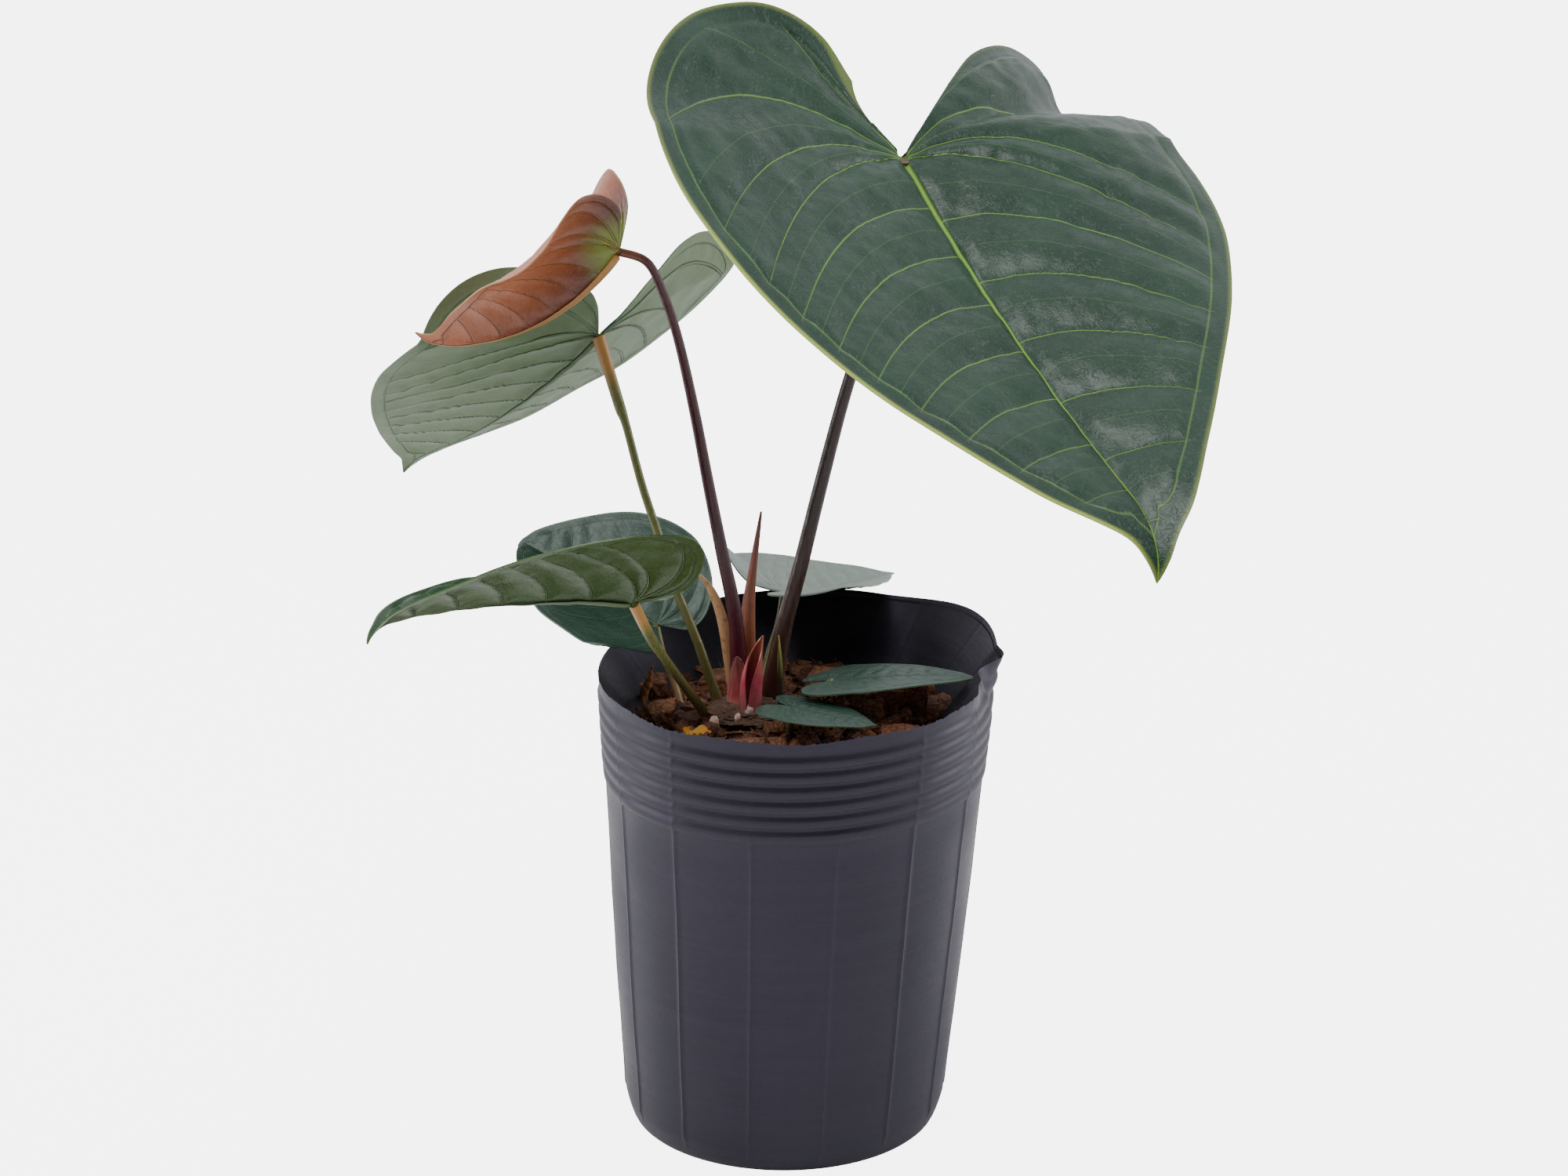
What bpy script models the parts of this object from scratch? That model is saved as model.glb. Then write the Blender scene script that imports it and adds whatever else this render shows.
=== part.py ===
"""A potted anthurium: a ribbed soft nursery pot, coarse bark mix, and a small plant with eight leaves.
Metres, +Z up, front towards -Y. The origin is the centre of the pot's underside."""

import math
import random

import bmesh
import bpy
from mathutils import Vector
from mathutils.bvhtree import BVHTree

# Pot
POT_HEIGHT = 0.182
RIM_RADIUS = 0.0745
HEEL_RADIUS = 0.061
FOOT_RADIUS = 0.057
HEEL_HEIGHT = 0.010
WALL = 0.0009
FLOOR = 0.0015
RIDGES = 6
RIDGE_PITCH = 0.0061
FIRST_RIDGE = 0.0086
RIDGE_RISE = 0.0010
RIB_COUNT = 14
RIB_RISE = 0.0005
RIB_HALF_ANGLE = math.radians(1.3)
TOP_LEAN = 0.005
TOP_TILT = math.tan(math.radians(1.2))
LIP_FLARE = 0.0030
LIP_RISE = 0.0040
NOTCH_DEPTH = 0.0050
LIP_DEPTH = 0.020
DRAIN_INNER = 0.038
DRAIN_OUTER = 0.047

# Mix
GAP = 0.0003
MIX_DROP = 0.027
MOUND = 0.007
CROWN_X = -0.013
CROWN_Y = -0.004
CROWN_SPREAD = 0.055
HEEL_INSET = 0.0037
FACET_ALLOWANCE = 0.0002

# Plant
BLADE = 0.0011
REST = 0.00045
STALK_STEP = 0.00025
PLANT_SCALE = 1.0
CROWN_LEVEL = POT_HEIGHT - MIX_DROP + MOUND

# What the lists of places below are drawn for: a crown this high, in a pot with this rim.
DRAWN_CROWN = 0.162
DRAWN_RIM = 0.0745
POT_SPREAD = RIM_RADIUS / DRAWN_RIM
MM = 0.001


def clear_scene():
    for old in list(bpy.data.objects):
        bpy.data.objects.remove(old, do_unlink=True)


def material(name, colour, rough, metal=0.0):
    made = bpy.data.materials.new(name)
    made.use_nodes = True
    shader = made.node_tree.nodes["Principled BSDF"]
    shader.inputs["Base Color"].default_value = (*colour, 1.0)
    shader.inputs["Roughness"].default_value = rough
    shader.inputs["Metallic"].default_value = metal
    made.diffuse_color = (*colour, 1.0)
    return made


def piece(name, points, faces, colour, rough=0.6, smooth=True):
    """One closed body from points and faces, its faces turned outward."""
    mesh = bpy.data.meshes.new(name)
    mesh.from_pydata([tuple(p) for p in points], [], faces)
    shape = bmesh.new()
    shape.from_mesh(mesh)
    bmesh.ops.triangulate(shape, faces=shape.faces[:])
    bmesh.ops.recalc_face_normals(shape, faces=shape.faces[:])
    for face in shape.faces:
        face.smooth = smooth
    shape.to_mesh(mesh)
    shape.free()
    made = bpy.data.objects.new(name, mesh)
    mesh.materials.append(material(name, colour, rough))
    bpy.context.scene.collection.objects.link(made)
    return made


# ---------------------------------------------------------------- pot and mix


def pot_angles():
    """Four columns to a rib: both flanks, the crest and the middle of the span after it."""
    step = math.tau / RIB_COUNT
    angles = []
    for rib in range(RIB_COUNT):
        middle = -math.pi / 2 + (rib + 0.5) * step
        angles.append((middle - RIB_HALF_ANGLE, 0.0))
        angles.append((middle, 1.0))
        angles.append((middle + RIB_HALF_ANGLE, 0.0))
        angles.append((middle + step / 2, 0.0))
    return angles


def wall_radius(z):
    """Outer radius of the plain wall: a chamfered heel, then a straight taper to the rim."""
    if z < HEEL_HEIGHT:
        return FOOT_RADIUS + (HEEL_RADIUS - FOOT_RADIUS) * (z / HEEL_HEIGHT) ** 0.6
    return HEEL_RADIUS + (RIM_RADIUS - HEEL_RADIUS) * (z - HEEL_HEIGHT) / (POT_HEIGHT - HEEL_HEIGHT)


def bump(angle, centre, half_width):
    """A smooth hump, one at the centre angle and nothing past the half width."""
    turn = (angle - centre + math.pi) % math.tau - math.pi
    return max(0.0, math.cos(min(abs(turn) / half_width, 1.0) * math.pi / 2)) ** 2


def softened(radius, angle, z):
    """Where a point of the round pot sits once the soft plastic has leaned, tilted, flared and crumpled."""
    share = z / POT_HEIGHT
    near_rim = max(0.0, 1 - (POT_HEIGHT - z) / LIP_DEPTH) ** 2
    back = bump(angle, math.radians(75), math.radians(88))
    notch = bump(angle, math.radians(-13), math.radians(17))
    corner = bump(angle, math.radians(30), math.radians(36))
    reach = radius + near_rim * (LIP_FLARE * (back + corner) - NOTCH_DEPTH * notch)
    x = reach * math.cos(angle) + TOP_LEAN * share
    y = reach * math.sin(angle)
    rise = near_rim * (LIP_RISE * corner + 0.0010 * back - 0.0015 * notch)
    return Vector((x, y, z + x * TOP_TILT * share + rise))


def pot_rows():
    """(z, ridge share) of each ring of points on the outside, from the foot up to the rim."""
    outer = [(0.0, 0.0)]
    outer.append((HEEL_HEIGHT * 0.45, 0.0))
    outer.append((HEEL_HEIGHT, 0.0))
    ring_foot = POT_HEIGHT - FIRST_RIDGE - (RIDGES - 0.5) * RIDGE_PITCH
    outer.append(((HEEL_HEIGHT + ring_foot) / 2, 0.0))
    outer.append((ring_foot, 0.0))
    for ridge in range(RIDGES - 1, -1, -1):
        crest = POT_HEIGHT - FIRST_RIDGE - ridge * RIDGE_PITCH
        outer.append((crest, 1.0))
        outer.append((crest + RIDGE_PITCH / 2, 0.0))
    outer.append((POT_HEIGHT - 0.0025, 0.3))
    outer.append((POT_HEIGHT, 0.3))
    return outer


def drained(k):
    """Whether the floor is open from this column to the next. There is a drain hole to every second rib."""
    return k % 8 in (4, 5, 6)


def band(row, after, count, columns=None):
    """The quads between two rings of points, over every column or the ones given."""
    faces = []
    for k in columns if columns is not None else range(count):
        nxt = (k + 1) % count
        faces.append([row * count + k, row * count + nxt, after * count + nxt, after * count + k])
    return faces


def fan(ring, hub, count):
    return [[ring * count + k, ring * count + (k + 1) % count, hub] for k in range(count)]


def make_pot():
    angles = pot_angles()
    count = len(angles)
    rows = pot_rows()
    points = []
    for z, ridge in rows:
        for angle, rib in angles:
            relief = RIDGE_RISE * ridge + RIB_RISE * rib * (0.0 if z < HEEL_HEIGHT / 2 else 1.0)
            points.append(softened(wall_radius(z) + relief, angle, z))
    inside = [row for row in rows if row[0] > HEEL_HEIGHT * 0.9]
    for z, ridge in reversed(inside):
        for angle, _ in angles:
            points.append(softened(wall_radius(z) - WALL + RIDGE_RISE * ridge, angle, z))
    for radius in (FOOT_RADIUS - 0.002, DRAIN_OUTER, DRAIN_INNER):
        for angle, _ in angles:
            points.append(softened(radius, angle, FLOOR))
    for radius in (DRAIN_INNER, DRAIN_OUTER):
        for angle, _ in angles:
            points.append(softened(radius, angle, 0.0))
    floor_outer = len(rows) + len(inside) + 1
    floor_inner = floor_outer + 1
    under_inner = floor_outer + 2
    under_outer = floor_outer + 3
    closed = [k for k in range(count) if not drained(k)]
    opened = [k for k in range(count) if drained(k)]
    faces = []
    for row in range(floor_outer):
        faces += band(row, row + 1, count)
    faces += band(floor_outer, floor_inner, count, closed)
    faces += band(under_inner, under_outer, count, closed)
    faces += band(under_outer, 0, count)
    faces += band(floor_inner, under_inner, count, opened)
    faces += band(floor_outer, under_outer, count, opened)
    for k in range(count):
        if drained(k) != drained((k - 1) % count):
            faces.append([ring * count + k for ring in (floor_inner, floor_outer, under_outer, under_inner)])
    hub = len(points)
    points.append(Vector((0.0, 0.0, FLOOR)))
    points.append(Vector((0.0, 0.0, 0.0)))
    faces += fan(floor_inner, hub, count)
    faces += fan(under_inner, hub + 1, count)
    return piece("nursery_pot", points, faces, (0.045, 0.042, 0.055), 0.42)


def mound(radius_share, angle):
    """Height of the mix: highest under the plant, with a low unevenness."""
    edge_level = POT_HEIGHT - MIX_DROP
    reach = radius_share * wall_radius(edge_level)
    x = reach * math.cos(angle) - CROWN_X
    y = reach * math.sin(angle) - CROWN_Y
    away = math.hypot(x, y) / CROWN_SPREAD
    uneven = 0.0008 * math.sin(5 * angle + 9 * radius_share) * radius_share
    return edge_level + MOUND * math.exp(-away * away) + uneven


def make_mix():
    angles = pot_angles()
    count = len(angles)
    low = FLOOR + GAP
    shoulder = POT_HEIGHT * 0.77
    clearance = WALL + GAP + FACET_ALLOWANCE
    points = []
    heights = [
        (FOOT_RADIUS - HEEL_INSET, low),
        (wall_radius(HEEL_HEIGHT) - clearance, HEEL_HEIGHT + 0.001),
        (wall_radius(POT_HEIGHT * 0.4) - clearance, POT_HEIGHT * 0.4),
        (wall_radius(shoulder) - clearance, shoulder),
    ]
    for reach, z in heights:
        for angle, _ in angles:
            points.append(softened(reach, angle, z))
    edge = heights[-1][0]
    for share in (1.0, 0.76, 0.50, 0.26):
        for angle, _ in angles:
            points.append(softened(edge * share, angle, mound(share, angle)))
    faces = []
    rings = len(heights) + 4
    for ring in range(rings - 1):
        faces += band(ring, ring + 1, count)
    hub = len(points)
    points.append(softened(0.0, 0.0, low))
    points.append(softened(0.0, 0.0, mound(0.0, 0.0)))
    faces += fan(0, hub, count)
    faces += fan(rings - 1, hub + 1, count)
    return piece("potting_mix", points, faces, (0.115, 0.048, 0.026), 0.9)


class Ground:
    """Finds how high the pieces already placed stand under a point."""

    def __init__(self):
        self.trees = []

    def add(self, made):
        corners = [v.co.copy() for v in made.data.vertices]
        polygons = [list(p.vertices) for p in made.data.polygons]
        self.trees.append((BVHTree.FromPolygons(corners, polygons), corners))
        return made

    def under(self, x, y, ceiling=POT_HEIGHT * 1.5):
        best = None
        for tree, _ in self.trees:
            hit = tree.ray_cast(Vector((x, y, ceiling)), Vector((0, 0, -1)))[0]
            if hit is not None and (best is None or hit.z > best):
                best = hit.z
        return best

    def highest(self, x, y, radius, ceiling=POT_HEIGHT * 1.5):
        """The highest level under a disc."""
        found = [self.under(x, y, ceiling)]
        for ring in (0.4, 0.75, 1.0):
            for k in range(10):
                turn = math.tau * k / 10
                beside_x = x + radius * ring * math.cos(turn)
                beside_y = y + radius * ring * math.sin(turn)
                found.append(self.under(beside_x, beside_y, ceiling))
        return max(level for level in found if level is not None)


# ---------------------------------------------------------------- stalks


def smooth_path(stations, steps):
    """A Catmull-Rom curve through the stations. Each is a point and a radius."""
    out = []
    last = len(stations) - 1
    for k in range(steps + 1):
        t = k / steps * last
        i = min(int(t), last - 1)
        f = t - i
        a = stations[max(i - 1, 0)]
        b = stations[i]
        c = stations[i + 1]
        d = stations[min(i + 2, last)]
        mixed = []
        for n in range(4):
            p, q, r, s = a[n], b[n], c[n], d[n]
            square = (2 * p - 5 * q + 4 * r - s) * f**2
            cube = (3 * q - p - 3 * r + s) * f**3
            value = 0.5 * (2 * q + (r - p) * f + square + cube)
            mixed.append(value)
        out.append((Vector(mixed[:3]), mixed[3]))
    return out


def tube(name, stations, colour, rough=0.5, sides=8, steps=12):
    """A closed round stalk through the stations, with domed ends."""
    path = smooth_path(stations, steps)
    points = []
    side = Vector((1.0, 0.0, 0.0))
    for k, (centre, radius) in enumerate(path):
        before = path[max(k - 1, 0)][0]
        after = path[min(k + 1, len(path) - 1)][0]
        along = (after - before).normalized()
        side = (side - along * side.dot(along)).normalized()
        across = along.cross(side)
        for n in range(sides):
            turn = math.tau * n / sides
            points.append(centre + side * (radius * math.cos(turn)) + across * (radius * math.sin(turn)))
    faces = []
    for k in range(len(path) - 1):
        for n in range(sides):
            nxt = (n + 1) % sides
            faces.append([k * sides + n, k * sides + nxt, (k + 1) * sides + nxt, (k + 1) * sides + n])
    faces.append(list(range(sides)))
    faces.append([(len(path) - 1) * sides + n for n in range(sides)])
    return piece(name, points, faces, colour, rough)


def mm(*values):
    return tuple(value * MM for value in values)


def grown(*values):
    """Sizes of the plant, from millimetres."""
    return tuple(value * MM * PLANT_SCALE for value in values)


def spread(*values):
    """Sizes of what fills the mouth of the pot, from millimetres."""
    return tuple(value * MM * POT_SPREAD for value in values)


def on_plant(x, y, z):
    """A place on the plant, which grows up and out from the crown, from millimetres."""
    return (x * MM * PLANT_SCALE, y * MM * PLANT_SCALE, CROWN_LEVEL + (z * MM - DRAWN_CROWN) * PLANT_SCALE)


def in_mouth(x, y, z=120.0):
    """A place in the mouth of the pot, spread with its rim and level with its mix, from millimetres."""
    return (x * MM * POT_SPREAD, y * MM * POT_SPREAD, CROWN_LEVEL + z * MM - DRAWN_CROWN)


def seated(ground, stations):
    """The stations with the first lifted clear of what stands under it."""
    x, y, z, radius = stations[0]
    nx, ny, nz, _ = stations[1]
    lean = math.hypot(nx - x, ny - y) / max(nz - z, 0.001)
    level = ground.highest(x, y, radius * 1.1)
    first = (x, y, level + REST + radius * min(lean, 1.5), radius)
    return [first] + list(stations[1:])


def reaching(stops, made):
    """The stations with the last moved along the stalk until it stops just short of its blade."""
    corners = [v.co for v in made.data.vertices]
    tree = BVHTree.FromPolygons(corners, [list(p.vertices) for p in made.data.polygons])
    x, y, z, radius = stops[-1]
    aim = Vector((x, y, z))
    along = (aim - Vector(stops[-2][:3])).normalized()
    side = along.orthogonal().normalized()
    across = along.cross(side)
    for step in range(80):
        end = aim - along * (STALK_STEP * step)
        nearest = 1.0
        for back in (0.0, 0.7, 1.5):
            centre = end - along * (radius * back)
            for k in range(12):
                turn = math.tau * k / 12
                point = centre + (side * math.cos(turn) + across * math.sin(turn)) * radius
                nearest = min(nearest, tree.find_nearest(point)[3])
        through = tree.ray_cast(end - along * radius * 4, along, radius * 4)[0]
        if nearest > REST and through is None:
            break
    return list(stops[:-1]) + [(end.x, end.y, end.z, radius)]


# ---------------------------------------------------------------- leaves

# The edge of one half of a leaf, from the notch round the lobe to the tip, as shares of the blade's length.
HALF_EDGE = [
    (-0.165, 0.050), (-0.245, 0.085), (-0.292, 0.150), (-0.300, 0.225), (-0.265, 0.320), (-0.170, 0.405),
    (-0.030, 0.455), (0.120, 0.462), (0.290, 0.425), (0.480, 0.340), (0.660, 0.235), (0.800, 0.145),
    (0.885, 0.080), (0.930, 0.038), (0.965, 0.018), (1.0, 0.0),
]
HALF_WIDTH = 0.46


class Leaf:
    """One blade: where it is held, which way it points, and how it bends. Angles in degrees."""

    def __init__(self, at, head, pitch, roll, length, wide=1.0, lobe=1.0, droop=0.0, back=0.0, tip=0.0,
                 twist=0.0, lift=(0.0, 0.0), curl=(15.0, 15.0), lobe_lift=(0.0, 0.0), splay=(0.0, 0.0)):
        self.at = Vector(at)
        self.length = length
        self.wide = wide
        self.lobe = lobe
        self.splay = splay
        self.droop = math.radians(droop)
        self.back = math.radians(back)
        self.tip = math.radians(tip)
        self.twist = math.radians(twist)
        self.lift = [math.radians(v) for v in lift]
        self.curl = [math.radians(v) for v in curl]
        self.lobe_lift = [math.radians(v) for v in lobe_lift]
        a, p, r = math.radians(head), math.radians(pitch), math.radians(roll)
        self.along = Vector((math.cos(a) * math.cos(p), math.sin(a) * math.cos(p), -math.sin(p)))
        left = Vector((-math.sin(a), math.cos(a), 0.0))
        up = self.along.cross(left)
        self.left = left * math.cos(r) + up * math.sin(r)
        self.up = self.along.cross(self.left)

    def bend_at(self, x):
        if x > 0:
            return self.droop * x + self.tip * max(0.0, (x - 0.8) / 0.2) ** 2
        return self.back * x

    def place(self, x, y):
        """The point of the middle surface at (x, y): shares of its length along and across the midrib."""
        parts = 16
        forward, down = 0.0, 0.0
        for k in range(parts):
            angle = self.bend_at(x * (k + 0.5) / parts)
            forward += math.cos(angle) * x / parts
            down += math.sin(angle) * x / parts
        half = 0 if y >= 0 else 1
        in_lobe = min(max(-x / 0.3, 0.0), 1.3)
        rise = self.lift[half] + self.lobe_lift[half] * in_lobe
        out, high = 0.0, 0.0
        for k in range(parts):
            angle = rise - self.curl[half] * abs(y) * (k + 0.5) / parts / HALF_WIDTH
            out += math.cos(angle) * abs(y) / parts
            high += math.sin(angle) * abs(y) / parts
        bend = self.bend_at(x)
        up = self.up * math.cos(bend) + self.along * math.sin(bend)
        turn = self.twist * x
        left = self.left * math.cos(turn) + up * math.sin(turn)
        up = up * math.cos(turn) - self.left * math.sin(turn)
        sign = 1.0 if y >= 0 else -1.0
        spine = self.at + self.length * (self.along * forward - self.up * down)
        return spine + self.length * (left * (out * sign) + up * high)


def edge_points(leaf, count):
    """The outline from the left notch, round the tip, to the right notch."""
    sides = []
    for side, splay in zip((1.0, -1.0), leaf.splay):
        marks = []
        for x, y in HALF_EDGE:
            long = x * leaf.lobe if x < 0 else x
            marks.append((long, side * (y * leaf.wide + splay * max(-x, 0.0)), 0.0, 0.0))
        sides.append([(p.x, p.y) for p, _ in smooth_path(marks, count)])
    return sides[0] + list(reversed(sides[1][:-1]))


def blade(name, leaf, colour, count=16, rings=4, rough=0.35, thick=BLADE):
    """A closed thin blade: a fan of rings about the point where the stalk meets it."""
    edge = edge_points(leaf, count)
    columns = len(edge)
    middle = [leaf.place(0.0, 0.0)]
    flat = [(0.0, 0.0)]
    for ring in range(1, rings + 1):
        share = ring / rings
        for x, y in edge:
            flat.append((x * share, y * share))
            middle.append(leaf.place(x * share, y * share))
    small = 0.004
    top, bottom = [], []
    for (x, y), point in zip(flat, middle):
        ahead = leaf.place(x + small, y) - leaf.place(x - small, y)
        across = leaf.place(x, y + small) - leaf.place(x, y - small)
        out = ahead.cross(across).normalized()
        top.append(point + out * (thick / 2))
        bottom.append(point - out * (thick / 2))
    points = top + bottom
    shift = len(top)
    faces = []
    for k in range(columns - 1):
        faces.append([0, 1 + k, 2 + k])
        faces.append([shift, shift + 2 + k, shift + 1 + k])
    for ring in range(rings - 1):
        first = 1 + ring * columns
        for k in range(columns - 1):
            quad = [first + k, first + k + 1, first + columns + k + 1, first + columns + k]
            faces.append(quad)
            faces.append([shift + n for n in reversed(quad)])
    outer = 1 + (rings - 1) * columns
    for k in range(columns - 1):
        faces.append([outer + k, outer + k + 1, shift + outer + k + 1, shift + outer + k])
    for column in (0, columns - 1):
        line = [0] + [1 + ring * columns + column for ring in range(rings)]
        for a, b in zip(line, line[1:]):
            faces.append([a, b, shift + b, shift + a])
    return piece(name, points, faces, colour, rough)


# ---------------------------------------------------------------- small things


def lump(name, centre, radii, colour, seed, turn=0.0, ground=None, rough=0.85, detail=1):
    """A broken chip or grain: a rough ball, flattened, turned, and set down on what is under it."""
    chance = random.Random(seed)
    shape = bmesh.new()
    bmesh.ops.create_icosphere(shape, subdivisions=detail, radius=1.0)
    shape.verts.ensure_lookup_table()
    points = []
    for corner in shape.verts:
        grow = 1.0 + chance.uniform(-0.16, 0.16)
        x, y, z = (corner.co[n] * radii[n] * grow for n in range(3))
        turned_x = x * math.cos(turn) - y * math.sin(turn)
        turned_y = x * math.sin(turn) + y * math.cos(turn)
        points.append(Vector((turned_x, turned_y, z)))
    faces = [[v.index for v in face.verts] for face in shape.faces]
    shape.free()
    cx, cy, cz = centre
    placed = [p + Vector((cx, cy, cz)) for p in points]
    if ground is not None:
        lift = max((ground.under(p.x, p.y) or 0.0) - p.z for p in placed)
        for tree, corners in ground.trees:
            own = BVHTree.FromPolygons(placed, faces)
            for corner in corners:
                hit = own.ray_cast(Vector((corner.x, corner.y, -1.0)), Vector((0, 0, 1)))[0]
                if hit is not None and corner.z < POT_HEIGHT * 1.1:
                    lift = max(lift, corner.z - hit.z)
        placed = [p + Vector((0, 0, lift + REST)) for p in placed]
    return piece(name, placed, faces, colour, rough)


def half_shell(name, foot, inner, thick, height, start, end, colour):
    """A pointed scale leaf that wraps part of a stalk's foot."""
    columns = 8
    rows = 5
    x0, y0, z0 = foot
    points = []
    for layer in (0, 1):
        for row in range(rows + 1):
            up = row / rows
            for k in range(columns + 1):
                share = k / columns
                shrink = 1 - up**2 * 0.85
                turn = start + (end - start) * (0.5 + (share - 0.5) * shrink)
                flare = inner + layer * thick + 0.0010 * up
                aside = (flare * math.cos(turn), flare * math.sin(turn))
                points.append(Vector((x0 + aside[0], y0 + aside[1], z0 + height * up)))
    width = columns + 1
    skin = (rows + 1) * width
    faces = []
    for row in range(rows):
        for k in range(columns):
            quad = [row * width + k, row * width + k + 1, (row + 1) * width + k + 1, (row + 1) * width + k]
            faces.append(quad)
            faces.append([skin + n for n in reversed(quad)])
    rim = [k for k in range(width)]
    rim += [row * width + columns for row in range(1, rows + 1)]
    rim += [rows * width + k for k in range(columns - 1, -1, -1)]
    rim += [row * width for row in range(rows - 1, 0, -1)]
    for a, b in zip(rim, rim[1:] + rim[:1]):
        faces.append([a, b, skin + b, skin + a])
    return piece(name, points, faces, colour, 0.45)


# ---------------------------------------------------------------- the whole plant

GREEN = (0.016, 0.055, 0.034)
PALE = (0.20, 0.27, 0.21)
BRONZE = (0.30, 0.105, 0.055)
MAROON = (0.065, 0.016, 0.024)
OLIVE = (0.105, 0.100, 0.035)
BARK = (0.16, 0.055, 0.024)
ORANGE_BARK = (0.35, 0.13, 0.045)
WHITE = (0.75, 0.72, 0.66)
RHIZOME = (0.11, 0.055, 0.032)


def leaves():
    """Each blade with its colour, the points to each half of its edge, and its rings."""
    large = Leaf(
        on_plant(43.4, -13.8, 386.0), head=-66, pitch=26, roll=-18,
        length=0.226 * PLANT_SCALE, wide=1.06, lobe=1.01,
        droop=-11, back=-76, tip=65, twist=14, lift=(29, -2), curl=(29, -5), lobe_lift=(-20, -11),
        splay=(0.54, -0.11),
    )
    bronze = Leaf(
        on_plant(-59.7, -24.0, 354.3), head=170, pitch=58, roll=9,
        length=0.094 * PLANT_SCALE, wide=1.05, lobe=0.66,
        droop=-60, back=-18, tip=-44, twist=10, lift=(76, 62), curl=(95, 50), lobe_lift=(0, 0),
    )
    pale = Leaf(
        on_plant(-69.7, 44.0, 298.4), head=135, pitch=44, roll=18,
        length=0.149 * PLANT_SCALE, wide=1.17, lobe=0.64,
        droop=-20, back=-56, tip=31, twist=11, lift=(-6, 25), curl=(-2, -2), lobe_lift=(32, 18),
    )
    folded = Leaf(
        on_plant(-54.9, -55.2, 230.0), head=194, pitch=-10, roll=23,
        length=0.104 * PLANT_SCALE, wide=1.04, lobe=0.65,
        droop=19, back=-20, tip=54, twist=-11, lift=(30, 20), curl=(6, 20), lobe_lift=(4, 0),
    )
    rounded = Leaf(
        on_plant(-48.7, 28.0, 188.1), head=136, pitch=-13, roll=-29,
        length=0.081 * PLANT_SCALE, wide=1.04, lobe=0.75,
        droop=7, back=-24, tip=47, twist=-7, lift=(17, 19), curl=(-35, -45), lobe_lift=(12, 3),
        splay=(0.18, -0.08),
    )
    back = Leaf(
        in_mouth(0.0, 55.0, 190.5), head=45, pitch=14, roll=-4,
        length=0.062 * POT_SPREAD, wide=1.06, lobe=1.0,
        droop=-12, back=-11, tip=9, twist=2, lift=(18, 12), curl=(0, -6), lobe_lift=(20, -8),
    )
    low = Leaf(
        in_mouth(18.3, 0.0, 176.5), head=0, pitch=-7, roll=-6,
        length=0.056 * POT_SPREAD, wide=0.80, lobe=0.70,
        droop=12, back=11, tip=-2, twist=5, lift=(2, 4), curl=(12, 6), lobe_lift=(-8, -2),
    )
    front = Leaf(
        in_mouth(3.4, -21.0, 174.6), head=-30, pitch=0, roll=-5,
        length=0.036 * POT_SPREAD, wide=1.0, lobe=1.0,
        droop=2, back=2, tip=-20, twist=4, lift=(2, 0), curl=(15, 0), lobe_lift=(3, -6),
    )
    return {
        "large": (large, GREEN, 20, 5),
        "bronze": (bronze, BRONZE, 14, 4),
        "pale": (pale, PALE, 14, 4),
        "folded": (folded, GREEN, 14, 4),
        "round": (rounded, GREEN, 12, 4),
        "back": (back, PALE, 12, 3),
        "low": (low, GREEN, 10, 3),
        "front": (front, GREEN, 10, 3),
    }


def stations(*rows):
    """Stations of a stalk on the plant."""
    return [(*on_plant(x, y, z), *grown(radius)) for x, y, z, radius in rows]


def low_stations(*rows):
    """Stations of a stalk whose leaf lies in the mouth of the pot."""
    return [(*in_mouth(x, y, z), *mm(radius)) for x, y, z, radius in rows]


def stalks():
    """The path of each stalk from its foot up to just below its blade: x, y, z and radius in millimetres."""
    return {
        "large": stations(
            (-4.4, 3.0, 169.0, 4.4), (0.0, 3.0, 197.0, 3.4), (6.3, 3.5, 222.0, 2.9),
            (13.5, 3.5, 253.0, 2.7), (21.8, 1.5, 287.5, 2.4), (31.4, -2.0, 322.5, 2.3),
            (38.4, -7.5, 354.0, 2.2), (42.2, -12.0, 376.0, 2.4),
        ),
        "bronze": stations(
            (-16.8, -2.0, 171.0, 3.4), (-18.0, -3.2, 202.0, 2.8), (-23.3, -5.0, 231.5, 2.4),
            (-27.8, -7.0, 257.0, 2.2), (-33.2, -10.0, 289.0, 2.0), (-38.9, -14.0, 318.0, 1.8),
            (-44.6, -18.0, 338.0, 1.7), (-50.0, -21.5, 349.6, 1.6), (-54.6, -23.5, 353.6, 1.5),
        ),
        "pale": stations(
            (-23.8, 10.0, 160.0, 2.0), (-32.5, 12.0, 187.0, 1.8), (-41.3, 16.0, 209.0, 1.7),
            (-46.4, 20.0, 225.0, 1.7), (-53.3, 28.0, 244.2, 1.6), (-59.1, 35.0, 265.0, 1.6),
            (-63.6, 39.5, 278.8, 2.1), (-66.8, 42.4, 290.0, 2.4),
        ),
        "folded": stations(
            (-28.6, -4.0, 162.0, 2.1), (-35.5, -15.0, 178.0, 1.8), (-43.6, -33.0, 198.0, 1.8),
            (-48.9, -43.0, 211.0, 1.9), (-53.6, -53.0, 224.5, 2.0),
        ),
        "round": stations(
            (-38.5, 13.0, 158.0, 1.7), (-42.2, 18.5, 169.5, 1.5), (-45.8, 23.0, 177.5, 1.4),
            (-48.2, 27.0, 184.6, 1.4),
        ),
        "back": low_stations(
            (-9.5, 14.0, 165.0, 1.7), (-6.0, 28.0, 175.0, 1.4), (-2.4, 42.0, 182.0, 1.3),
            (-0.6, 51.0, 186.6, 1.3),
        ),
        "low": low_stations((4.5, 8.0, 164.0, 1.4), (9.0, 4.5, 169.5, 1.3), (14.5, 1.5, 173.4, 1.2)),
        "front": low_stations((1.4, -20.5, 158.0, 1.3), (2.0, -21.0, 165.0, 1.3), (3.4, -21.0, 171.6, 1.2)),
    }


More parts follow.
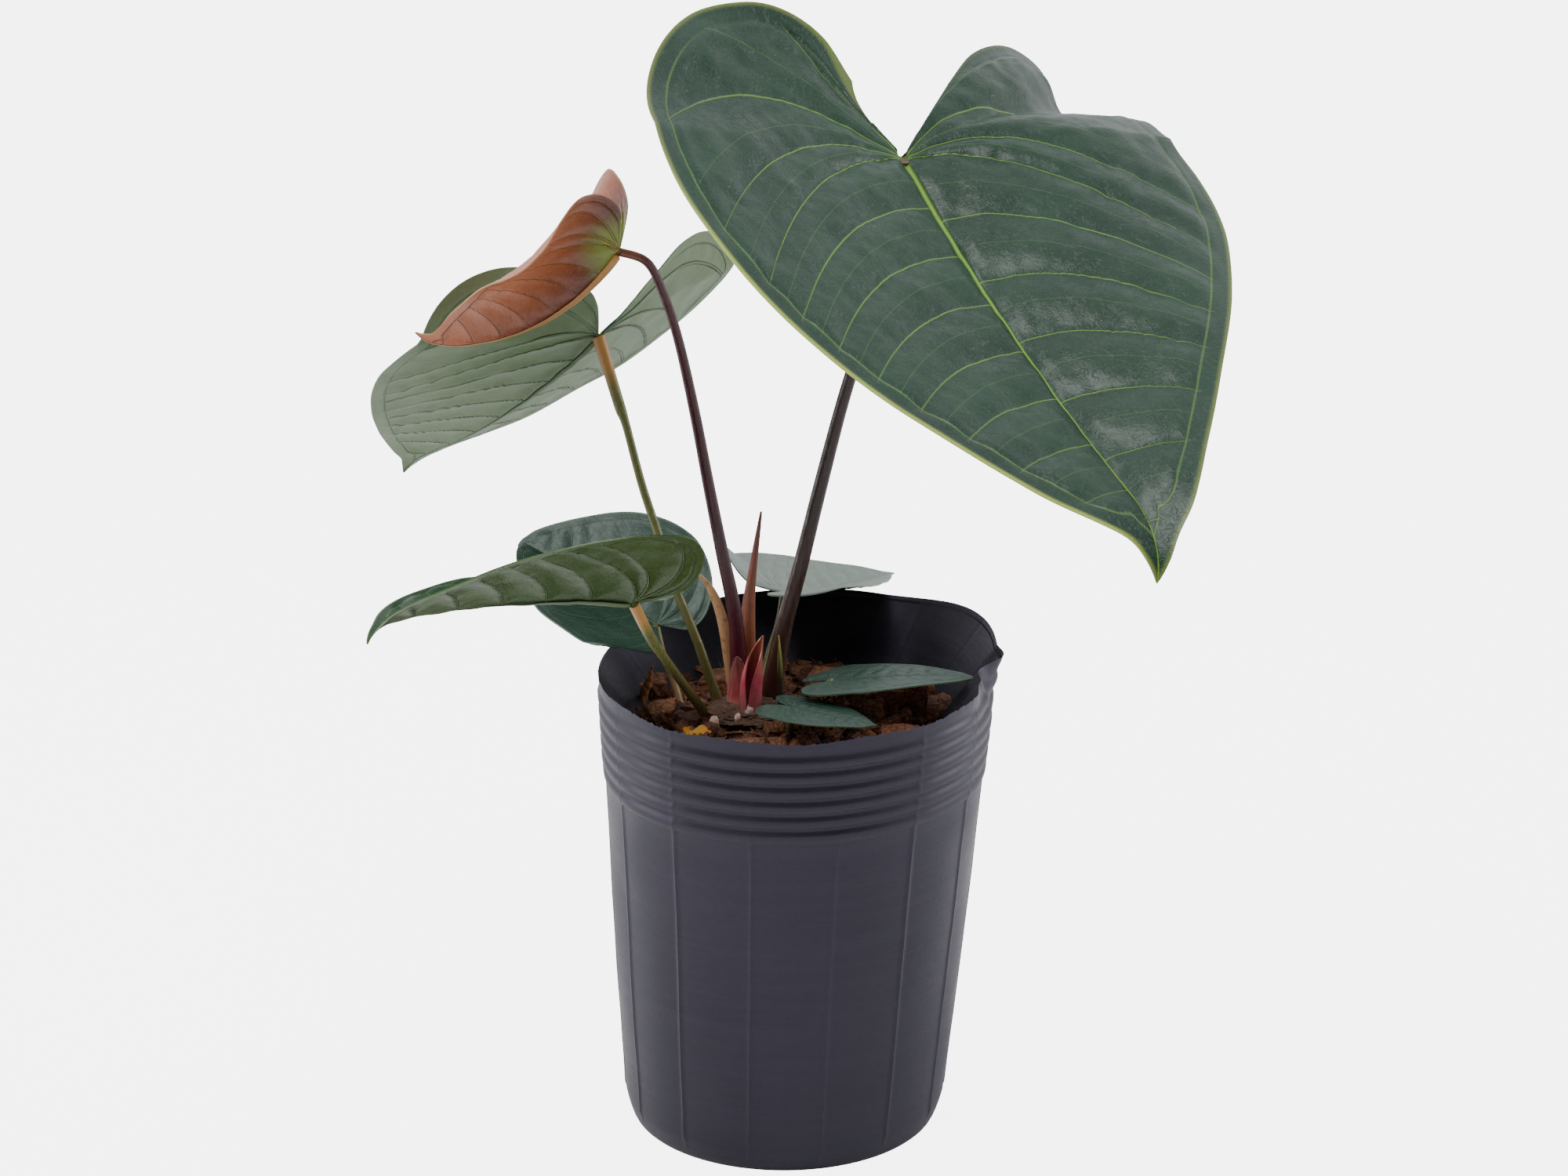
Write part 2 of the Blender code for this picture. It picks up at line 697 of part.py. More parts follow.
STALK_COLOURS = {"large": MAROON, "bronze": MAROON}


def make_plant(ground):
    crown = grown(13.5, 12.0, 4.3)
    rhizome = lump("rhizome", on_plant(-12.6, -5.0, 150.0), crown, RHIZOME, 3, 0.2, ground, detail=2)
    ground.add(rhizome)
    blades = {}
    for name, (leaf, colour, count, rings) in leaves().items():
        blades[name] = (leaf, blade("leaf_" + name, leaf, colour, count, rings))
    for name, path in stalks().items():
        leaf, made = blades[name]
        top = (*(leaf.at - leaf.up * BLADE), path[-1][3])
        stops = reaching(seated(ground, path[:-1] + [top]), made)
        tube("stalk_" + name, stops, STALK_COLOURS.get(name, OLIVE), steps=len(path) + 4)
    spike = stations(
        (-14.0, 6.8, 172.0, 2.8), (-14.0, 7.0, 190.0, 2.8), (-13.2, 7.4, 208.0, 2.0),
        (-11.1, 8.0, 222.0, 1.0), (-8.5, 8.0, 241.5, 0.4),
    )
    tube("spike_sheath", seated(ground, spike), (0.30, 0.085, 0.035), steps=9)
    bud = stations(
        (-12.5, -9.6, 171.0, 2.4), (-12.2, -9.6, 178.0, 3.4), (-11.0, -9.6, 188.0, 2.6),
        (-8.2, -10.0, 198.0, 0.5),
    )
    tube("red_bud", seated(ground, bud), (0.50, 0.085, 0.075), steps=8)
    tan = stations(
        (-19.0, 7.5, 172.0, 1.5), (-21.3, 8.0, 189.0, 1.8), (-25.0, 9.0, 207.0, 2.0),
        (-33.5, 9.0, 218.0, 1.2),
    )
    tube("dried_sheath", seated(ground, tan), (0.40, 0.20, 0.085), steps=8)
    foot_x, foot_y = grown(-16.8, -2.0)
    inner, thick, height = grown(4.6, 0.9, 16.0)
    foot_z = ground.highest(foot_x, foot_y, inner + 1.5 * thick) + REST
    foot = (foot_x, foot_y, foot_z)
    arc = (math.radians(150), math.radians(268))
    half_shell("stalk_sheath", foot, inner, thick, height, *arc, (0.62, 0.20, 0.15))
    shoot = stations((-1.0, -5.5, 172.0, 0.9), (-1.6, -5.6, 184.0, 0.8), (-2.0, -5.6, 196.0, 0.4))
    tube("green_shoot", seated(ground, shoot), (0.35, 0.42, 0.06), steps=5, sides=6)


def make_litter(ground):
    """The bark, grains and scraps that lie on the mix."""
    chips = [
        ((46.0, 16.0), (9.0, 6.5, 5.5), 0.3, ORANGE_BARK), ((27.0, 20.0), (7.0, 5.0, 3.6), 1.1, BARK),
        ((59.0, 4.0), (6.0, 5.0, 4.0), 2.0, BARK), ((31.0, 3.0), (5.5, 4.0, 3.0), 0.6, ORANGE_BARK),
        ((-51.0, 27.0), (6.5, 5.0, 4.2), 2.4, BARK), ((-46.0, 5.0), (5.5, 4.0, 3.2), 0.9, ORANGE_BARK),
        ((14.0, 30.0), (6.5, 4.5, 3.2), 1.7, BARK), ((-24.0, 32.0), (7.0, 5.0, 3.5), 0.2, BARK),
        ((44.0, -20.0), (7.5, 5.5, 3.8), 2.7, BARK), ((-14.0, -38.0), (8.0, 5.5, 3.6), 0.5, BARK),
    ]
    for k, (spot, size, turn, colour) in enumerate(chips):
        lump(f"bark_chip_{k + 1}", in_mouth(*spot), spread(*size), colour, 20 + k, turn, ground)
    beside_stalk = on_plant(-30.5, 13.5, 120.0)
    grains = [(beside_stalk, 1.5), (in_mouth(-43.0, 0.5), 1.2), (in_mouth(-38.5, -1.5), 1.1),
        (in_mouth(36.0, -8.0), 1.4)]
    for k, (spot, size) in enumerate(grains):
        lump(f"perlite_{k + 1}", spot, mm(size, size, size), WHITE, 50 + k, 0.0, ground)
    lump("root_nub", on_plant(-26.0, -14.0, 120.0), mm(2.0, 1.6, 3.0), (0.70, 0.50, 0.42), 61, 0.0, ground)
    scrap = mm(6.0, 4.0, 1.3)
    lump("yellow_scrap", on_plant(-33.0, -19.0, 120.0), scrap, (0.75, 0.36, 0.02), 62, 0.1, ground, rough=0.5)
    x, y, _ = in_mouth(-54.0, 14.0)
    level = ground.highest(x, y, 0.002)
    lean = [
        (x, y, level + REST + 0.0012, 0.0016),
        (x + 0.002, y + 0.001, level + 0.010, 0.0016),
        (x + 0.004, y + 0.001, level + 0.019, 0.0012),
    ]
    tube("bark_splinter", lean, BARK, rough=0.9, sides=5, steps=4)


def main():
    clear_scene()
    make_pot()
    ground = Ground()
    ground.add(make_mix())
    make_plant(ground)
    make_litter(ground)


main()
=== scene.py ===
"""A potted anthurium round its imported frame: veined leaves, stalks, a soft ribbed pot and bark mix."""

import math
import random

import bpy
import numpy as np
from mathutils import Matrix, Vector, noise
from mathutils.bvhtree import BVHTree


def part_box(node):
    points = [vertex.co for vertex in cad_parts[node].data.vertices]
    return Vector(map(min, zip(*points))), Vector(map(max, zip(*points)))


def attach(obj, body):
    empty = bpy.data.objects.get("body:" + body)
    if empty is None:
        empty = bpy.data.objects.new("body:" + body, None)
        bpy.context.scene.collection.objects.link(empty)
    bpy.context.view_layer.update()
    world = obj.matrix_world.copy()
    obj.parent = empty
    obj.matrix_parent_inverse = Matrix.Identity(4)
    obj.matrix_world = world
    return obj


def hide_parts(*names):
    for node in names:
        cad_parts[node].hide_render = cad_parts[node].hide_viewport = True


bl_info = {
    "name": "Potted Anthurium",
    "version": (1, 0, 0),
    "blender": (4, 5, 0),
    "location": "View3D > Sidebar > Anthurium",
    "description": "Builds the pieces of a potted anthurium one by one",
    "category": "Add Mesh",
}

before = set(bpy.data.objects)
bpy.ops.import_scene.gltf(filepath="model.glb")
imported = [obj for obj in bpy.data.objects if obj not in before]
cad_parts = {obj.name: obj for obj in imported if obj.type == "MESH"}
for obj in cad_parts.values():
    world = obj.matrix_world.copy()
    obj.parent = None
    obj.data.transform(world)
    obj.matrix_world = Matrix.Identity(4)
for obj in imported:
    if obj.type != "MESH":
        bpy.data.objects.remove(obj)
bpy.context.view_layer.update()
MM = 0.001


# ---------------------------------------------------------------- shader helpers


class Wire:
    """A socket that adds its own Math nodes when it is used in an expression."""

    def __init__(self, paint, socket):
        self.paint = paint
        self.socket = socket

    def maths(self, operation, *others):
        return self.paint.node("ShaderNodeMath", {"operation": operation}, [self, *others])

    def __add__(self, other):
        return self.maths("ADD", other)

    def __mul__(self, other):
        return self.maths("MULTIPLY", other)

    def __sub__(self, other):
        return self.maths("SUBTRACT", other)

    def __truediv__(self, other):
        return self.maths("DIVIDE", other)

    def __neg__(self):
        return self.maths("MULTIPLY", -1.0)

    def __rsub__(self, other):
        return (-self) + other

    __radd__ = __add__
    __rmul__ = __mul__

    def clamp(self):
        return self.paint.node("ShaderNodeMath", {"operation": "ADD", "use_clamp": True}, [self, 0.0])

    def rounded_gap(self):
        """How far the value is from the nearest whole number, 0 to 0.5."""
        return ((self + 0.5).maths("FRACT") - 0.5).maths("ABSOLUTE")


class Paint:
    """One material and the nodes that are added to it."""

    def __init__(self, name, colour=(0.5, 0.5, 0.5), **constants):
        self.material = bpy.data.materials.new(name)
        self.material.use_nodes = True
        self.tree = self.material.node_tree
        self.shader = self.tree.nodes["Principled BSDF"]
        self.material.diffuse_color = (*colour, 1.0)
        self.set("Base Color", colour)
        for socket, value in constants.items():
            self.set(socket.replace("_", " "), value)

    @classmethod
    def on(cls, tree, shader):
        """The same helper for a tree that isn't a material's."""
        paint = cls.__new__(cls)
        paint.tree = tree
        paint.shader = shader
        return paint

    def put(self, socket, value):
        if isinstance(value, Wire):
            self.tree.links.new(value.socket, socket)
        elif isinstance(value, (tuple, list)) and len(value) == 3 and socket.type == "RGBA":
            socket.default_value = (*value, 1.0)
        else:
            socket.default_value = value

    def set(self, name, value):
        self.put(self.shader.inputs[name], value)

    def node(self, kind, settings=None, inputs=None, output=0):
        made = self.tree.nodes.new(kind)
        for name, value in (settings or {}).items():
            if name == "stops":
                self.stops(made.color_ramp, value)
            else:
                setattr(made, name, value)
        pairs = inputs.items() if isinstance(inputs, dict) else enumerate(inputs or [])
        for name, value in pairs:
            self.put(made.inputs[name], value)
        return Wire(self, made.outputs[output])

    @staticmethod
    def stops(ramp, stops):
        while len(ramp.elements) < len(stops):
            ramp.elements.new(0.5)
        for element, (at, colour) in zip(ramp.elements, stops):
            element.position = at
            element.color = (*colour, 1.0)

    def mix(self, share, first, second):
        """Two colours mixed by a share from 0 to 1."""
        return self.node("ShaderNodeMix", {"data_type": "RGBA"}, {0: share, 6: first, 7: second}, output=2)

    def ramp(self, value, stops):
        return self.node("ShaderNodeValToRGB", {"stops": stops}, [value])

    def step(self, value, low, high, start=0.0, end=1.0):
        """A smooth change from start to end as the value goes from low to high."""
        inputs = {0: value, 1: low, 2: high, 3: start, 4: end}
        return self.node("ShaderNodeMapRange", {"interpolation_type": "SMOOTHSTEP", "clamp": True}, inputs)

    def place(self):
        return self.node("ShaderNodeTexCoord", output="Object")

    def stretch(self, coordinates, scale):
        return self.node("ShaderNodeMapping", None, {"Vector": coordinates, "Scale": scale})

    def noise(self, coordinates, scale, detail=3.0, rough=0.55, distort=0.0):
        inputs = {"Vector": coordinates, "Scale": scale, "Detail": detail}
        inputs.update({"Roughness": rough, "Distortion": distort})
        return self.node("ShaderNodeTexNoise", None, inputs)

    def cells(self, coordinates, scale):
        """How far each point is from the edge of its cell."""
        inputs = {"Vector": coordinates, "Scale": scale}
        return self.node("ShaderNodeTexVoronoi", {"feature": "DISTANCE_TO_EDGE"}, inputs, "Distance")

    def parts(self, vector):
        """The three numbers of a vector."""
        split = self.node("ShaderNodeSeparateXYZ", None, [vector])
        return [Wire(self, split.socket.node.outputs[n]) for n in range(3)]

    def map(self, name):
        """A UV map's coordinates."""
        return self.node("ShaderNodeUVMap", {"uv_map": name})

    def bump(self, height, distance, strength=1.0, under=None):
        inputs = {"Height": height, "Distance": distance, "Strength": strength}
        if under is not None:
            inputs["Normal"] = under
        return self.node("ShaderNodeBump", None, inputs)


# ---------------------------------------------------------------- mesh helpers


def nothing_selected():
    if bpy.context.object is not None and bpy.context.object.mode != "OBJECT":
        bpy.ops.object.mode_set(mode="OBJECT")
    bpy.ops.object.select_all(action="DESELECT")


def only(made):
    """Selects the one object and makes it active."""
    nothing_selected()
    made.select_set(True)
    bpy.context.view_layer.objects.active = made


def named(name, *paints):
    """Names the new object, gives it its materials and puts its place in its mesh."""
    made = bpy.context.object
    made.name = name
    made.data.name = name
    made.data.materials.clear()
    for paint in paints:
        made.data.materials.append(paint.material if isinstance(paint, Paint) else paint)
    bpy.ops.object.transform_apply(location=True, rotation=True, scale=True)
    return made


def corners(made):
    found = np.empty(len(made.data.vertices) * 3)
    made.data.vertices.foreach_get("co", found)
    return found.reshape(-1, 3)


def move_corners(made, points):
    made.data.vertices.foreach_set("co", np.asarray(points, dtype=float).ravel())
    made.data.update()


def smooth(made, angle=None):
    only(made)
    if angle is None:
        bpy.ops.object.shade_smooth()
    else:
        bpy.ops.object.shade_smooth_by_angle(angle=math.radians(angle))


def apply(made, kind, **settings):
    """Adds a modifier with its settings, and applies it."""
    only(made)
    modifier = made.modifiers.new(kind.title(), kind)
    for name, value in settings.items():
        setattr(modifier, name, value)
    bpy.ops.object.modifier_apply(modifier=modifier.name)
    return made


def flip(made):
    """Turns every face over."""
    edit(made)
    bpy.ops.mesh.flip_normals()
    bpy.ops.object.mode_set(mode="OBJECT")


def uv_map(made, name, u, v):
    """A UV map from one pair of numbers to each corner of the mesh."""
    layer = made.data.uv_layers.get(name) or made.data.uv_layers.new(name=name)
    index = np.empty(len(made.data.loops), dtype=int)
    made.data.loops.foreach_get("vertex_index", index)
    layer.data.foreach_set("uv", np.stack([np.asarray(u)[index], np.asarray(v)[index]], 1).ravel())


def tone_map(made, tone):
    """One tone for the whole piece, for its paint to read."""
    count = len(made.data.vertices)
    uv_map(made, "tone", np.full(count, tone), np.zeros(count))


def smoothstep(value, low, high):
    share = np.clip((value - low) / (high - low), 0.0, 1.0)
    return share * share * (3 - 2 * share)


def spline(stations, steps):
    """Points on a smooth curve through the stations, with any other numbers that they hold."""
    marks = np.asarray(stations, dtype=float)
    last = len(marks) - 1
    at = np.linspace(0, last, steps + 1)
    start = np.minimum(at.astype(int), last - 1)
    f = (at - start)[:, None]
    p = marks[np.maximum(start - 1, 0)]
    q = marks[start]
    r = marks[start + 1]
    s = marks[np.minimum(start + 2, last)]
    return 0.5 * (2 * q + (r - p) * f + (2 * p - 5 * q + 4 * r - s) * f**2 + (3 * q - p - 3 * r + s) * f**3)


def grain(points, scale, seed=0.0):
    """Smooth noise from -1 to 1 at each point."""
    shift = Vector((seed * 7.3, seed * 3.1, seed * 5.7))
    return np.array([noise.noise(Vector(p) * scale + shift) for p in points])


def grains(points, scale, seed=0.0, step=1.0):
    """Three smooth noises at each point, for a push in any direction."""
    return np.stack([grain(points, scale, seed + step * n) for n in range(3)], 1)


def edit(made, select=None):
    """Enters edit mode on the piece with everything selected, or only the faces that pass a test."""
    only(made)
    if select is not None:
        for polygon in made.data.polygons:
            polygon.select = bool(select(polygon))
    bpy.ops.object.mode_set(mode="EDIT")
    bpy.ops.mesh.select_mode(type="FACE")
    if select is None:
        bpy.ops.mesh.select_all(action="SELECT")


def weld(made, distance=2e-6, outward=True):
    """Merges what meets, and turns the faces outward."""
    edit(made)
    bpy.ops.mesh.remove_doubles(threshold=distance)
    if outward:
        bpy.ops.mesh.normals_make_consistent(inside=False)
    bpy.ops.object.mode_set(mode="OBJECT")


def grid(name, columns, rows, *paints):
    """A flat grid with the column and row number of each of its corners."""
    nothing_selected()
    bpy.ops.mesh.primitive_grid_add(x_subdivisions=columns, y_subdivisions=rows, size=1.0)
    made = named(name, *paints)
    flat = corners(made)
    column = np.rint((flat[:, 0] + 0.5) * columns).astype(int)
    row = np.rint((flat[:, 1] + 0.5) * rows).astype(int)
    return made, column, row


def rides(made, slot, *nodes):
    """The finished piece stands for its CAD nodes and moves with the plant."""
    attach(made, "root")
    if nodes:
        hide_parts(*nodes)
    return made


def stem(name, stations, paint, sides=7, steps=60):
    """A round stem, a bevelled curve made a mesh, along stations of (x, y, z, radius) in millimetres."""
    path = spline(np.asarray(stations, dtype=float) * MM, steps)
    nothing_selected()
    bpy.ops.curve.primitive_nurbs_path_add()
    made = bpy.context.object
    curve = made.data
    curve.splines.clear()
    line = curve.splines.new("POLY")
    line.points.add(steps)
    for point, (x, y, z, radius) in zip(line.points, path):
        point.co = (x, y, z, 1.0)
        point.radius = radius
    curve.bevel_depth = 1.0
    curve.bevel_resolution = sides
    curve.use_fill_caps = True
    made.location = (0.0, 0.0, 0.0)
    only(made)
    bpy.ops.object.convert(target="MESH")
    named(name, paint)
    weld(made)
    smooth(made, 60)
    return made


def along_frames(centres):
    """Two directions across a path at each of its points, turning as little as they can."""
    along = np.gradient(centres, axis=0)
    along /= np.linalg.norm(along, axis=1)[:, None]
    side = np.array([1.0, 0.0, 0.0])
    sides, fronts = [], []
    for direction in along:
        side = side - direction * (side @ direction)
        side = side / np.linalg.norm(side)
        sides.append(side)
        fronts.append(np.cross(direction, side))
    return np.array(sides), np.array(fronts)


SHEATH_THICKNESS = 0.0005


def wrapped(name, stations, paint, start, sweep, point):
    """A pointed scale leaf rolled round a path: its edges lap, and it narrows to its tip."""
    rows, columns, overlap = 48, 30, 0.12
    path = spline(np.asarray(stations, dtype=float) * MM, rows)
    sides, fronts = along_frames(path[:, :3])
    made, column, row = grid(name, columns, rows, paint)
    share = row / rows
    across = column / columns
    reach = math.radians(sweep) * (1 - point * share**3)
    turn = math.radians(start) + reach * (across - 0.5)
    ribs = 1 + 0.015 * np.sin(across * columns * 1.9) + overlap * across
    radius = path[row, 3] * ribs
    out = sides[row] * np.cos(turn)[:, None] + fronts[row] * np.sin(turn)[:, None]
    move_corners(made, path[row, :3] + out * radius[:, None])
    uv_map(made, "along", share, across)
    apply(made, "SOLIDIFY", thickness=SHEATH_THICKNESS, offset=0.0)
    weld(made)
    smooth(made, 50)
    return made


# ---------------------------------------------------------------- leaf blades

# The edge of one half of a blade from the notch round the lobe to the tip, as shares of its length.
HALF_EDGE = [
    (-0.165, 0.050), (-0.245, 0.085), (-0.292, 0.150), (-0.300, 0.225), (-0.265, 0.320), (-0.170, 0.405),
    (-0.030, 0.455), (0.120, 0.462), (0.290, 0.425), (0.480, 0.340), (0.660, 0.235), (0.800, 0.145),
    (0.885, 0.080), (0.930, 0.038), (0.965, 0.018), (1.0, 0.0),
]
HALF_WIDTH = 0.46
BASAL_STEP = math.radians(22)
NOTCH_REACH = math.radians(16)
INTEGRAL_PARTS = 16


class Blade:
    """The shape of one leaf: where it is held, which way it points, and how it bends. Angles in degrees."""

    def __init__(self, at, head, pitch, roll, length, wide, lobe, droop, back, tip, twist, lift, curl,
                 lobe_lift, splay=(0.0, 0.0), notch=0.0, laterals=(0.125, 0.125)):
        self.at = np.array(at) * MM
        self.notch = notch
        self.laterals = np.array(laterals)
        self.length = length
        self.wide = wide
        self.lobe = lobe
        self.splay = splay
        self.droop, self.back, self.tip, self.twist = np.radians([droop, back, tip, twist])
        self.lift = np.radians(lift)
        self.curl = np.radians(curl)
        self.lobe_lift = np.radians(lobe_lift)
        a, p, r = np.radians([head, pitch, roll])
        self.along = np.array([math.cos(a) * math.cos(p), math.sin(a) * math.cos(p), -math.sin(p)])
        left = np.array([-math.sin(a), math.cos(a), 0.0])
        up = np.cross(self.along, left)
        self.left = left * math.cos(r) + up * math.sin(r)
        self.up = np.cross(self.along, self.left)

    def bend(self, x):
        forward = self.droop * x + self.tip * np.maximum(0.0, (x - 0.8) / 0.2) ** 2
        return np.where(x > 0, forward, self.back * x)

    def place(self, x, y):
        """Points of the middle surface at shares of the length along and across the midrib."""
        middles = (np.arange(INTEGRAL_PARTS) + 0.5) / INTEGRAL_PARTS
        bends = self.bend(x[:, None] * middles)
        forward = np.cos(bends).mean(1) * x
        down = np.sin(bends).mean(1) * x
        half = np.where(y >= 0, 0, 1)
        wide = np.abs(y)
        in_lobe = np.clip(-x / 0.3, 0.0, 1.3)
        rise = self.lift[half] + self.lobe_lift[half] * in_lobe
        rises = rise[:, None] - (self.curl[half] * wide / HALF_WIDTH)[:, None] * middles
        out = np.cos(rises).mean(1) * wide * np.sign(y + 1e-12)
        high = np.sin(rises).mean(1) * wide
        bend = self.bend(x)[:, None]
        up = self.up * np.cos(bend) + self.along * np.sin(bend)
        turn = (self.twist * x)[:, None]
        left = self.left * np.cos(turn) + up * np.sin(turn)
        up = up * np.cos(turn) - self.left * np.sin(turn)
        spine = self.at + self.length * (self.along * forward[:, None] - self.up * down[:, None])
        return spine + self.length * (left * out[:, None] + up * high[:, None])

    def edge(self, steps):
        """The outline from the notch on the left, round the tip, to the notch on the right."""
        halves = []
        for side, splay in zip((1.0, -1.0), self.splay):
            marks = []
            for x, y in HALF_EDGE:
                marks.append((x * self.lobe if x < 0 else x, side * (y * self.wide + splay * max(-x, 0.0))))
            halves.append(spline(marks, steps))
        return np.concatenate([halves[0], halves[1][-2::-1]])


def vein_field(x, y, laterals):
    """The running number of the side vein at each point, whole on a vein, and the space between veins."""
    wide = np.abs(y)
    step = laterals[np.where(y >= 0, 0, 1)]
    ahead = x - 0.02 * wide - 2.0 * wide**2
    slope = 0.02 + 4.0 * wide
    behind = np.arctan2(-ahead, wide + 1e-9)
    number = np.where(ahead >= 0, ahead / step, -behind / BASAL_STEP)
    gap = np.where(ahead >= 0, step / np.hypot(1, slope), BASAL_STEP * np.hypot(ahead, wide))
    return number, gap


def make_blade(name, blade, top, under, steps, rings, quilt, groove, thin, keel, folds=()):
    """A quilted blade: a fan of rings about the point where its stalk holds it, then made solid."""
    edge = blade.edge(steps)
    made, column, row = grid(name, len(edge) - 1, rings, top, under)
    share = (row / rings) ** 0.9
    away = np.arctan2(np.abs(edge[:, 1]), edge[:, 0])
    near_notch = np.exp(-(((away.max() - away) / NOTCH_REACH) ** 2))
    turn = -(blade.notch * near_notch * np.sign(edge[:, 1]))[column] * np.sin(math.pi * share)
    x, y = (edge[column] * share[:, None]).T
    x, y = x * np.cos(turn) - y * np.sin(turn), x * np.sin(turn) + y * np.cos(turn)
    points = blade.place(x, y)
    step = 0.003
    ahead = blade.place(x + step, y) - blade.place(x - step, y)
    across = blade.place(x, y + step) - blade.place(x, y - step)
    out = np.cross(ahead, across)
    out /= np.linalg.norm(out, axis=1)[:, None]

    size = blade.length / MM
    run = np.gradient(edge, axis=0)
    run /= np.linalg.norm(run, axis=1)[:, None]
    slant = np.abs(edge[:, 0] * run[:, 1] - edge[:, 1] * run[:, 0])
    margin = (1 - share) * slant[column] * size
    wide = np.abs(y) * size
    number, gap = vein_field(x, y, blade.laterals)
    gap = gap * size
    near_rim = smoothstep(margin, 0.012 * size, 0.05 * size)
    near_rib = smoothstep(wide, 0.003 * size, 0.03 * size)
    in_field = np.clip(gap / (0.06 * size), 0, 1)
    bulge = np.abs(np.sin(math.pi * number)) ** 0.8
    sheet = np.stack([x, y, np.zeros_like(x)], 1)
    fine = grain(sheet * size, 0.16, len(name))
    relief = quilt * (bulge - 0.35) * near_rim * near_rib * in_field
    pucker = grain(sheet * size, 0.085, 3.0 + len(name))
    relief += quilt * (0.22 * fine + 0.38 * pucker) * near_rim
    relief -= groove * np.exp(-((wide / (0.006 * size)) ** 2)) * np.clip(1.05 - x, 0, 1) * (x > -0.02)
    relief -= 0.35 * groove * np.exp(-(((margin - 0.035 * size) / (0.007 * size)) ** 2)) * near_rib
    angle = np.degrees(np.arctan2(y, x))
    for at, width, height, power in folds:
        relief += height * np.exp(-(((angle - at) / width) ** 2)) * share**power
    wave = grain(sheet, 6.0, 2.0 + len(name))
    relief += 0.006 * size * wave * (1 - smoothstep(margin, 0, 0.12 * size)) * share**2
    move_corners(made, points + out * (relief * MM)[:, None])

    uv_map(made, "veins", number, margin)
    uv_map(made, "gauge", gap, wide)
    uv_map(made, "flat", x, y)
    rib = np.exp(-((wide / (0.0075 * size)) ** 2)) * np.clip(1.0 - x, 0.1, 1) * (x > -0.01)
    line = np.exp(-((np.abs(number - np.rint(number)) * gap / (0.004 * size)) ** 2)) * near_rim * in_field
    thickness = thin + (keel - thin) * np.maximum(rib, 0.22 * line)
    group = made.vertex_groups.new(name="Thickness")
    for index, weight in enumerate(thickness / keel):
        group.add([index], float(weight), "REPLACE")
    weld(made, outward=False)
    facing = sum((polygon.normal * polygon.area for polygon in made.data.polygons), Vector())
    if facing.dot(Vector(out.mean(0))) < 0:
        flip(made)
    apply(made, "SOLIDIFY", thickness=keel * MM, offset=-0.6, vertex_group="Thickness",
          thickness_vertex_group=0.0, material_offset=1, material_offset_rim=0)
    smooth(made, 65)
    return made


